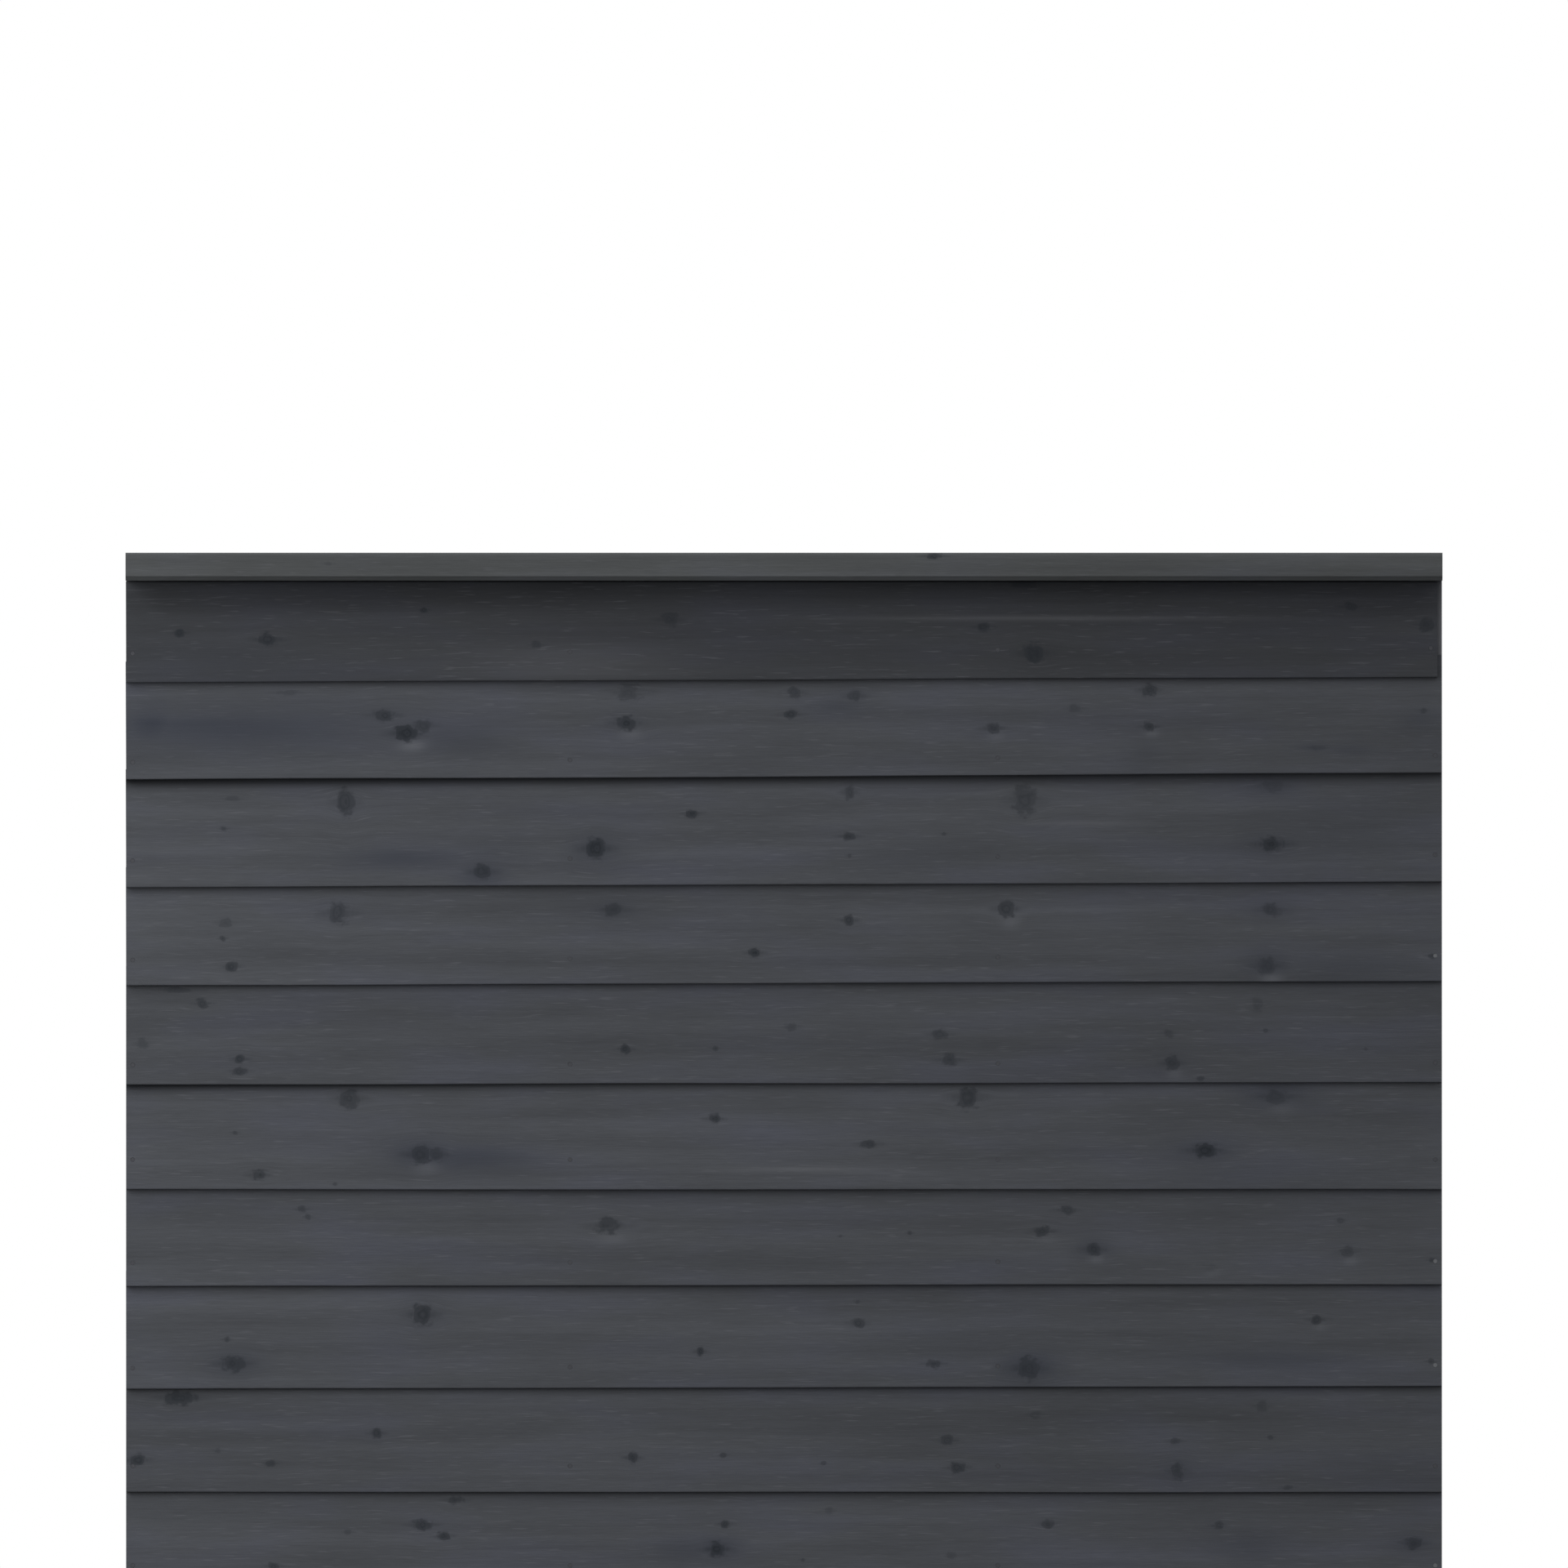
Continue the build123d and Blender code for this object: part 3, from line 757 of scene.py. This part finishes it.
def paint_wood(mesh, name, timber, number):
    """Stores the grain, the knots, the stain marks and the painted light and shade on a piece of timber."""
    local = local_points(mesh, timber.place)
    along, depth, up = local.T
    across = up.copy()
    marks = {label: np.zeros(len(local)) for label in ("bloom", "flare", "worn", "pooled")}
    knots = knots_of(name, timber, number)
    thickness = timber.thick + (timber.thin - timber.thick) * np.clip(up / timber.width_left, 0, 1)
    behind_front = thickness + depth
    shown = np.exp(-(np.minimum(behind_front, -depth) / KNOT_FADE) ** 2)
    place_knots(mesh, local, knots, shown)
    for x, z, half_width, half_height, dark, bloom, flare in knots:
        right, high = (along - x) / half_width, (up - z) / half_height
        bloomed = soft_spot(right / BLOOM_REACH[0], high / BLOOM_REACH[1])
        marks["bloom"] = np.maximum(marks["bloom"], bloom * shown * bloomed)
        flared = soft_spot((right - FLARE_MIDDLE[0]) / FLARE_REACH[0],
                           (high - FLARE_MIDDLE[1]) / FLARE_REACH[1])
        marks["flare"] = np.maximum(marks["flare"], flare * flared)
        bent = np.tanh(1.5 * high) * np.exp(-(right / BEND_REACH[0]) ** 2 - abs(high) / BEND_REACH[1])
        across -= dark * half_height * bent
    patches = [("bloom", *patch) for patch in BLUE_PATCHES if name.startswith("board_")]
    patches += [("worn", *patch) for piece, *patch in WORN_AND_LIT_PATCHES if piece == name]
    world = mesh_points(mesh)
    for label, x, y, half_width, half_height, strength in patches:
        middle_x, middle_z = photo_to_panel(x, y)
        patch = soft_spot((world[:, 0] - middle_x) / (half_width * metres_per_pixel),
                          (world[:, 2] - middle_z) / (half_height * metres_per_pixel))
        marks[label] = np.maximum(marks[label], strength * patch)
    marks["worn"][behind_front > 1 * MM] = 0
    # Painted shadow: a dark band on the front, below the upper board's foot
    if name in PAINTED_LAP_SHADOWS:
        reach, at_left, at_right = PAINTED_LAP_SHADOWS[name]
        upper = boards[board_names[board_names.index(name) - 1]]
        below = np.maximum(0, -local_points(mesh, upper.place)[:, 2])
        strength = at_left + (at_right - at_left) * (along / timber.length + 0.5)
        marks["pooled"] = np.maximum(0, strength) * np.exp(-(below / reach) ** 2)
    for label, values in marks.items():
        store(mesh, label, values)
    grain = np.stack([along + PATTERN_STEP[0] * number, across + PATTERN_STEP[1] * number, depth], axis=1)
    store(mesh, "grain", grain)
    # The stain's tone, with painted shade under the cap on the top board
    store(mesh, "tone", np.full(len(local), STAIN_TONES_AND_CAP_SHADE.get(name, 1.0)))


print("patterns shift by", PATTERN_STEP, "m along and across, from piece to piece")

# %% [markdown]
# ## Stained spruce
# The timber is fine-sawn spruce under a dark grey, half-covering stain. The eye sees an even cool
# grey with faint streaks along the grain, small torn fibres that catch the light, blue blooms and
# dark knots. The torn fibres are raised in the relief and painted lighter, a painted highlight of that
# light. All of it is built from stretched noise along the stored grain, at real sizes. A wave texture
# could draw year rings too, but on these boards the stain hides them. Over this, the stored marks
# paint shadow under two laps, shade on the top board and light on the right stile.

# %% A knot's darkness
# A knot's rim, from full dark to none, and its wings, both in half widths and half heights. The rim
# counts from the ragged noise's own middle. Then the strength of that noise and the rings' closeness.
KNOT_RIM = (1.5, 2.45)
KNOT_WINGS = {"X": (0.9, 2.8), "Y": (0.1, 0.6)}
KNOT_RAGGED = 1.9
KNOT_RINGS = 11.0


def knot_share(tree, place, ragged):
    """How much a knot darkens the wood: a core with a ragged rim and faint rings, and thin wings."""
    seen_from = add(tree, "ShaderNodeSeparateXYZ", {0: place}).outputs
    flat_place = add(tree, "ShaderNodeCombineXYZ", {"X": seen_from["X"], "Y": seen_from["Y"]})
    reach = add(tree, "ShaderNodeVectorMath", {0: flat_place}, operation="LENGTH").outputs["Value"]
    reach = add(tree, MATH, {0: ragged, 1: KNOT_RAGGED, 2: reach}, operation="MULTIPLY_ADD")
    core = add(tree, "ShaderNodeMapRange", {
        "Value": reach, "From Min": KNOT_RIM[0], "From Max": KNOT_RIM[1], "To Min": 1.0, "To Max": 0.0},
        interpolation_type="SMOOTHSTEP")
    wing = ragged
    for way, (start, stop) in KNOT_WINGS.items():
        away = add(tree, MATH, {0: seen_from[way]}, operation="ABSOLUTE")
        near = add(tree, "ShaderNodeMapRange", {
            "Value": away, "From Min": start, "From Max": stop, "To Min": 1.0, "To Max": 0.0})
        wing = add(tree, MATH, {0: wing, 1: near}, operation="MULTIPLY")
    knot = add(tree, MATH, {0: core, 1: wing}, operation="MAXIMUM")
    knot = add(tree, MATH, {0: knot, 1: seen_from["Z"]}, operation="MULTIPLY")
    rings = add(tree, MATH, {0: reach, 1: KNOT_RINGS}, operation="MULTIPLY")
    rings = add(tree, MATH, {0: rings}, operation="SINE")
    rings = add(tree, "ShaderNodeMapRange", {
        "Value": rings, "From Min": -1.0, "To Min": 0.78, "To Max": 1.0})
    return add(tree, MATH, {0: knot, 1: rings}, operation="MULTIPLY")


print("a knot's rim fades over", round(KNOT_RIM[1] - KNOT_RIM[0], 2), "of its half size")

# %% Stained spruce material
# Length and width of each pattern's marks in millimetres, and its detail. The fibres of real spruce
# are a tenth as wide, and are drawn this coarse so that they show.
PATTERNS = {"bands": (700, 30, 2), "mottle": (210, 60, 2), "streaks": (150, 4.0, 3), "fibres": (26, 1.6, 2),
            "torn_fibres_and_glint": (34, 2.4, 1), "ragged": (11, 7, 3)}

# How far each pattern lightens and darkens the stain, as a share of it
SWINGS = {"bands": 0.15, "mottle": 0.1, "streaks": 0.06, "fibres": 0.09}


def stained_spruce(name, grey, blue):
    """Spruce under dark stain, with the marks that its mesh carries."""
    material, tree = new_finish(name)
    stored = {label: add(tree, "ShaderNodeAttribute", attribute_name=label).outputs
              for label in ("grain", "bloom", "flare", "worn", "pooled", "tone", "knot_place")}
    noise = {}
    for label, (length, width, detail) in PATTERNS.items():
        scale = (1 / (length * MM), 1 / (width * MM), 1 / (width * MM))
        stretched = add(tree, "ShaderNodeMapping", {"Vector": stored["grain"]["Vector"], "Scale": scale})
        noise[label] = add(tree, "ShaderNodeTexNoise", {
            "Vector": stretched, "Scale": 1.0, "Detail": detail})

    # The stain's own grey, drifting to blue, lighter and darker along the grain
    drift = add(tree, "ShaderNodeMapRange", {
        "Value": noise["mottle"], "From Min": 0.46, "From Max": 0.72, "To Max": 0.7})
    colour = add(tree, "ShaderNodeMix", {"Factor": drift, 6: linear(grey), 7: linear(blue)},
                 data_type="RGBA")
    # The stain's tone, which on the top board also holds painted shade under the cap
    value = stored["tone"]["Fac"]
    for label, strength in SWINGS.items():
        swing = add(tree, "ShaderNodeMapRange", {
            "Value": noise[label], "From Min": 0.25, "From Max": 0.75,
            "To Min": 1 - strength, "To Max": 1 + strength})
        value = add(tree, MATH, {0: value, 1: swing}, operation="MULTIPLY")
    colour = add(tree, "ShaderNodeMix", {"Factor": 1.0, 6: colour.outputs[2], 7: value},
                 data_type="RGBA", blend_type="MULTIPLY")

    knot = knot_share(tree, stored["knot_place"]["Vector"], noise["ragged"])

    # Marks over the grey, among them a painted highlight, painted light and painted shadow: how much of
    # each shows, and its colour
    # Torn fibres: raised in the relief, and painted lighter as a painted highlight
    torn_fibres_and_glint = add(tree, "ShaderNodeMapRange", {
        "Value": noise["torn_fibres_and_glint"], "From Min": 0.63, "From Max": 0.75, "To Max": 0.22})
    soaked = add(tree, "ShaderNodeMapRange", {
        "Value": noise["bands"], "From Min": 0.3, "From Max": 0.7, "To Min": 0.5, "To Max": 1.1})
    soaked = add(tree, MATH, {0: soaked, 1: stored["bloom"]["Fac"]}, operation="MULTIPLY")
    for share, strength, mark in ((torn_fibres_and_glint, 1.0, "#5c5d62"), (soaked, 0.9, "#2e3139"),
                                  (stored["flare"]["Fac"], 0.65, "#56585d"), (knot, 1.0, "#1c2025"),
                                  # Pale wear, and painted light on the right stile beside the top board
                                  (stored["worn"]["Fac"], 1.0, "#7b7c80"),
                                  # Painted shadow under the laps
                                  (stored["pooled"]["Fac"], 1.0, "#141619")):
        share = add(tree, MATH, {0: share, 1: strength}, operation="MULTIPLY")
        colour = add(tree, "ShaderNodeMix", {"Factor": share, 6: colour.outputs[2], 7: linear(mark)},
                     data_type="RGBA")

    # Fine relief of the saw and the fibres
    relief = add(tree, MATH, {0: noise["fibres"], 1: noise["streaks"]}, operation="ADD")
    relief = add(tree, MATH, {0: torn_fibres_and_glint, 1: relief}, operation="ADD")
    bump = add(tree, "ShaderNodeBump", {"Height": relief, "Strength": 0.4, "Distance": 0.3 * MM})
    gloss = add(tree, "ShaderNodeMapRange", {
        "Value": noise["fibres"], "From Min": 0.3, "From Max": 0.7, "To Min": 0.55, "To Max": 0.75})
    surface = add(tree, "ShaderNodeBsdfPrincipled", {
        "Base Color": colour.outputs[2], "Roughness": gloss, "Specular IOR Level": 0.12, "Normal": bump})
    add(tree, "ShaderNodeOutputMaterial", {"Surface": surface})
    return material


board_finish = stained_spruce("fine-sawn spruce, dark grey stain", "#3f4145", "#3d3f47")
cap_finish = stained_spruce("planed spruce cap, dark grey stain", "#434546", "#414347")
frame_finish = stained_spruce("planed spruce batten, dark grey stain", "#3f4145", "#3d3f47")
print([finish.name for finish in (board_finish, cap_finish, frame_finish)])

# %% [markdown]
# ## Metal finishes
# The boards were stained after they were nailed, so nearly every nail head wears the stain. A few at
# the right-hand edge were missed, or have shed it, and show dull galvanised steel. The screws of the
# frame are zinc plated, with a faint yellow-grey bloom.


# %% Nail and screw materials
def spangled_metal(name, light, dark, spangle_mm, metallic, roughness, specular=0.5):
    """A metal or a coat on metal, with patches of two tones and a little relief."""
    material, tree = new_finish(name)
    place = add(tree, "ShaderNodeTexCoord").outputs["Object"]
    spangle = add(tree, "ShaderNodeTexNoise", {
        "Vector": place, "Scale": 1 / (spangle_mm * MM), "Detail": 3.0})
    colour = add(tree, "ShaderNodeMix", {"Factor": spangle, 6: linear(light), 7: linear(dark)},
                 data_type="RGBA")
    gloss = add(tree, "ShaderNodeMapRange", {
        "Value": spangle, "To Min": roughness - 0.1, "To Max": roughness + 0.1})
    bump = add(tree, "ShaderNodeBump", {"Height": spangle, "Strength": 0.3, "Distance": 0.1 * MM})
    surface = add(tree, "ShaderNodeBsdfPrincipled", {
        "Base Color": colour.outputs[2], "Roughness": gloss, "Metallic": metallic,
        "Specular IOR Level": specular, "Normal": bump})
    add(tree, "ShaderNodeOutputMaterial", {"Surface": surface})
    return material


stained_nail = spangled_metal("dark stain over a nail head", "#3f4044", "#393a3e", 2.0, 0.0, 0.65, 0.12)
bare_nail = spangled_metal("hot-dip galvanised steel", "#66686b", "#4b4d50", 1.5, 0.35, 0.6, 0.25)
zinc_screw = spangled_metal("zinc-plated steel", "#b4b2ab", "#8f8e88", 1.5, 1.0, 0.35)
print([finish.name for finish in (stained_nail, bare_nail, zinc_screw)])

# %% [markdown]
# ## Making every piece of timber
# Each board, batten and the cap now runs through the same steps: the tree grows it at its measured
# size, a bevel eases the arrises, the mesh goes to its place, the fasteners that pass through it
# drill their holes, and the wood is painted in.


# %% Cuts and holes
STEPS_ALONG = 30


def crosses(fastener, low, high):
    """Whether a fastener passes through a box."""
    shares = np.linspace(0, 1, STEPS_ALONG)
    steps = [fastener.head - fastener.out * fastener.length * share for share in shares]
    return any(all(low[i] - MM < step[i] < high[i] + MM for i in range(3)) for step in steps)


def cut_away(piece, tool):
    """Cuts one solid from another, and removes the tool. The cut faces wear the piece's finish."""
    tool.data.materials.clear()
    for finish in piece.data.materials[:1]:
        tool.data.materials.append(finish)
    cut = piece.modifiers.new(tool.name, "BOOLEAN")
    cut.object = tool
    cut.solver = "EXACT"
    settle(piece)
    bpy.data.objects.remove(tool)


def drill(piece, node):
    """Cuts the holes of every fastener that passes through a piece."""
    low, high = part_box(node)
    for group, places in fasteners.items():
        passing = [place for place in places if crosses(place, low, high)]
        if passing:
            outline = screw_outline if group in SCREW_NODES else nail_outline
            bit = lathe("bit", outline(places[0].length, HOLE_CLEARANCE, HOLE_OVERCUT))
            cut_away(piece, drive("holes", bit, passing))
            bpy.data.objects.remove(bit)


print("holes are", HOLE_CLEARANCE / MM, "mm wider all round than what they hold")

# %% [markdown]
# ## The cap's lip
# Rain that runs round a cap's lower edge would creep along its underside to the boards, so a groove
# is ploughed there to make it drip, and the edge in front of it is planed off. Two straight bars cut
# them here, at the places that the CAD solid gives, as a plough and a plane would.


# %% Groove and chamfer
PAST_ENDS = 10 * MM


def prism(name, section):
    """A bar along the whole panel and past its ends, from its (y, z) corners seen from the right."""
    return loft(name, [[(x, y, z) for y, z in section]
                       for x in (cad_box[1].x + PAST_ENDS, cad_box[0].x - PAST_ENDS)])


def cut_lip(piece, node):
    """Cuts the chamfer and the drip groove under the cap's front, where the CAD solid has them."""
    points = points_of(node)
    front, under = points[:, 1].min(), points[:, 2].min()
    level = np.unique(points[points[:, 2] < under + 0.01 * MM][:, 1].round(6))
    chamfer, groove_from, groove_to = level[0] - front, level[1], level[2]
    ceiling = points[abs(points[:, 1] - groove_from) < 0.01 * MM][:, 2].max()
    past = MM
    cut_away(piece, prism("groove", [
        (groove_from, under - past), (groove_to, under - past),
        (groove_to, ceiling), (groove_from, ceiling)]))
    cut_away(piece, prism("chamfer", [
        (front - past, under - past), (front + chamfer + past, under - past),
        (front - past, under + chamfer + past)]))
    print("cap lip, mm: chamfer", round(chamfer / MM, 1),
          "groove", round((groove_to - groove_from) / MM, 1),
          "wide and", round((ceiling - under) / MM, 1), "deep")


# %% One piece of timber
ROW_SPACING = 3.4 * MM
STATION_SPACING = 7.5 * MM
SEED_STEP = 7.3
SHARP_ANGLE = math.radians(40)


def make_timber(node, timber, finish, number, arris, wander=0.0, cupping=0.0):
    """Grows one piece of timber, puts it in place of its CAD node and paints its wood."""
    piece = new_piece(f"{node}_wood")
    use_tree(piece, timber_tree, {
        "Length": timber.length, "Width Left": timber.width_left, "Width Right": timber.width_right,
        "Thick Edge": timber.thick, "Thin Edge": timber.thin,
        "Stations": round(timber.length / STATION_SPACING),
        "Rows": round(max(timber.width_left, timber.width_right) / ROW_SPACING),
        "Layers": max(3, round(timber.thick / (3 * ROW_SPACING))),
        "Foot Wander": wander, "Cupping": cupping, "Seed": SEED_STEP * number, "Material": finish})
    easing = piece.modifiers.new("arris", "BEVEL")
    easing.width = arris
    easing.segments = 3
    easing.limit_method = "WEIGHT"
    settle(piece).transform(timber.place)
    if node == "cap_board":
        cut_lip(piece, node)
    drill(piece, node)
    mesh = piece.data
    for leftover in {"out", "bare", "bevel_weight_edge"} & set(mesh.attributes.keys()):
        mesh.attributes.remove(mesh.attributes[leftover])
    paint_wood(mesh, node, timber, number)
    mesh.polygons.foreach_set("use_smooth", [True] * len(mesh.polygons))
    mesh.set_sharp_from_angle(angle=SHARP_ANGLE)
    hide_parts(node)
    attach(piece, "root")
    return piece


print("mesh, mm: rows", round(ROW_SPACING / MM, 1), "and stations", round(STATION_SPACING / MM, 1), "apart")

# %% All the timber
BOARD_ARRIS = 1.2 * MM
BOARD_WANDER = 1.0 * MM
BOARD_CUPPING = 2.0 * MM
BATTEN_ARRIS = 2.0 * MM
CAP_ARRIS = 4.0 * MM

for number, (node, timber) in enumerate(boards.items(), start=1):
    made = make_timber(node, timber, board_finish, number,
                       BOARD_ARRIS, BOARD_WANDER, BOARD_CUPPING)
    print(made.name, len(made.data.polygons), "faces")
for number, (node, timber) in enumerate(battens.items(), start=21):
    made = make_timber(node, timber, frame_finish, number, BATTEN_ARRIS)
    print(made.name, len(made.data.polygons), "faces")
made = make_timber("cap_board", cap, cap_finish, 41, CAP_ARRIS)
print(made.name, len(made.data.polygons), "faces")

# %% [markdown]
# ## Nails and screws
# Now the fasteners themselves go in, one mesh for each group. A screw is driven by its cross recess,
# so the recess is cut into the first one, before the tree copies it. Nails need nothing more: their
# heads lie just under the face of the wood.

# %% Nails and screws in place
BARE_NAILS = [(1761, 1173), (1762, 1544), (1759, 1668), (1760, 1907)]
BARE_REACH = 20 * MM
CROSS_REACH = 2.6 * MM
CROSS_WIDTH = 1.1 * MM
CROSS_DEPTH = 1.8 * MM
CROSS_TAPER = 0.55


def cross_tool():
    """What a screwdriver's tip leaves in a screw head: a cross that narrows downwards."""
    arm, half = CROSS_REACH, CROSS_WIDTH / 2
    quarter = [(arm, -half), (arm, half), (half, half)]
    corners = [Matrix.Rotation(math.radians(90 * turn), 2) @ Vector(corner)
               for turn in range(4) for corner in quarter]
    above = [(c.x, c.y, CROSS_DEPTH / 4) for c in corners]
    below = [(c.x * CROSS_TAPER, c.y * CROSS_TAPER, -CROSS_DEPTH) for c in corners]
    return loft("cross", [above, below])


def is_bare_nail(nail):
    """Whether this nail is one of those that the photograph shows bare."""
    spots = [photo_to_panel(*pixel) for pixel in BARE_NAILS]
    return any(math.hypot(nail.head.x - x, nail.head.z - z) < BARE_REACH for x, z in spots)


for seed, (node, places) in enumerate(fasteners.items()):
    screws = node in SCREW_NODES
    outline = screw_outline if screws else nail_outline
    source = lathe("source", outline(places[0].length))
    if screws:
        cut_away(source, cross_tool())
    coat = zinc_screw if screws else stained_nail
    bare = [place for place in places if not screws and is_bare_nail(place)]
    piece = drive(f"{node}_steel", source, places, bare, seed,
                  **{"Material": coat, "Bare Material": bare_nail})
    bpy.data.objects.remove(source)
    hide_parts(node)
    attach(piece, "root")
    print(piece.name, len(places), "fasteners,", len(bare), "bare,", len(piece.data.polygons), "faces")

# %% [markdown]
# ## Light, floor and background
# The photograph has the even light of an overcast sky, a little brighter on the left. A dome that is
# bright above and dim below gives the thin dark lines under the laps and the deep soft shadow under
# the cap, and one large lamp on the left gives the drift from side to side. The camera sees plain
# white, as do reflections. The floor fades into that white, and keeps the panel's shadow.

# %% World
# Painted shade in the wood's colour deepens the lap lines and the shade under the cap beyond what this
# light gives
SKY = 1.2
GROUND = 0.2
world = bpy.data.worlds.new("overcast studio")
bpy.context.scene.world = world
world.use_nodes = True
tree = world.node_tree
tree.nodes.clear()
direction = add(tree, "ShaderNodeSeparateXYZ", {0: add(tree, "ShaderNodeTexCoord").outputs["Generated"]})
height = add(tree, "ShaderNodeMapRange", {
    "Value": direction.outputs["Z"], "From Min": -0.1, "From Max": 0.1, "To Min": GROUND, "To Max": SKY},
    interpolation_type="SMOOTHSTEP")
dome = add(tree, "ShaderNodeBackground", {"Strength": height, "Color": (1, 1, 1, 1)})
white = add(tree, "ShaderNodeBackground", {"Strength": 1.0, "Color": (1, 1, 1, 1)})
ray = add(tree, "ShaderNodeLightPath").outputs
seen = add(tree, MATH, {0: ray["Is Camera Ray"], 1: ray["Is Glossy Ray"]}, operation="MAXIMUM")
seen = add(tree, MATH, {0: seen, 1: ray["Is Transmission Ray"]}, operation="MAXIMUM")
background = add(tree, "ShaderNodeMixShader", {0: seen, 1: dome, 2: white})
add(tree, "ShaderNodeOutputWorld", {"Surface": background})
print("dome strength from", GROUND, "below to", SKY, "above")

# %% Lamp
LAMP_PLACE = Vector((-3.2, -2.0, 2.4))
LAMP_TARGET = Vector((0, 0, 1.3))
lamp = new_piece("key lamp", bpy.data.lights.new("key lamp", "AREA"))
lamp.data.shape = "RECTANGLE"
lamp.data.size = 1.2
lamp.data.size_y = 3.6
lamp.data.energy = 110
lamp.location = LAMP_PLACE
lamp.rotation_euler = (LAMP_TARGET - LAMP_PLACE).to_track_quat("-Z", "Y").to_euler()
print("lamp", round((LAMP_TARGET - LAMP_PLACE).length, 2), "m from the panel,", lamp.data.energy, "W")

# %% Floor
FLOOR_RADIUS = 4.0
FADE_FROM = 1.6
FADE_TO = 3.8
floor_finish, tree = new_finish("pale matt studio floor")
place = add(tree, "ShaderNodeTexCoord").outputs["Object"]
distance = add(tree, "ShaderNodeVectorMath", {0: place}, operation="LENGTH").outputs["Value"]
ray = add(tree, "ShaderNodeLightPath").outputs
pale = add(tree, "ShaderNodeBsdfDiffuse", {"Color": linear("#f2f2f2")})
dim = add(tree, "ShaderNodeBsdfDiffuse", {"Color": linear("#7d7d7d")})
white = add(tree, "ShaderNodeEmission", {"Color": (1, 1, 1, 1), "Strength": 1.0})
fade = add(tree, "ShaderNodeMapRange", {
    "Value": distance, "From Min": FADE_FROM, "From Max": FADE_TO}, interpolation_type="SMOOTHSTEP")
shown = add(tree, "ShaderNodeMixShader", {0: fade, 1: pale, 2: white})
floor_shader = add(tree, "ShaderNodeMixShader", {0: ray["Is Camera Ray"], 1: dim, 2: shown})
add(tree, "ShaderNodeOutputMaterial", {"Surface": floor_shader})
turn = np.linspace(0, 2 * np.pi, 96, endpoint=False)
rim = [(FLOOR_RADIUS * math.cos(angle), FLOOR_RADIUS * math.sin(angle), 0) for angle in turn]
floor_mesh = bpy.data.meshes.new("floor")
floor_mesh.from_pydata(rim, [], [tuple(range(len(rim)))])
floor_mesh.materials.append(floor_finish)
floor = new_piece("floor", floor_mesh)
print("floor", 2 * FLOOR_RADIUS, "m across")

# %% Colour and triangle count
bpy.context.scene.view_settings.view_transform = "Standard"
made_meshes = [piece.data for piece in bpy.data.objects if piece.name.endswith(("_wood", "_steel"))]
for mesh in made_meshes:
    mesh.calc_loop_triangles()
triangles = [len(mesh.loop_triangles) for mesh in made_meshes]
print(len(triangles), "dressed pieces:", sum(triangles), "triangles, at most", max(triangles), "in one")
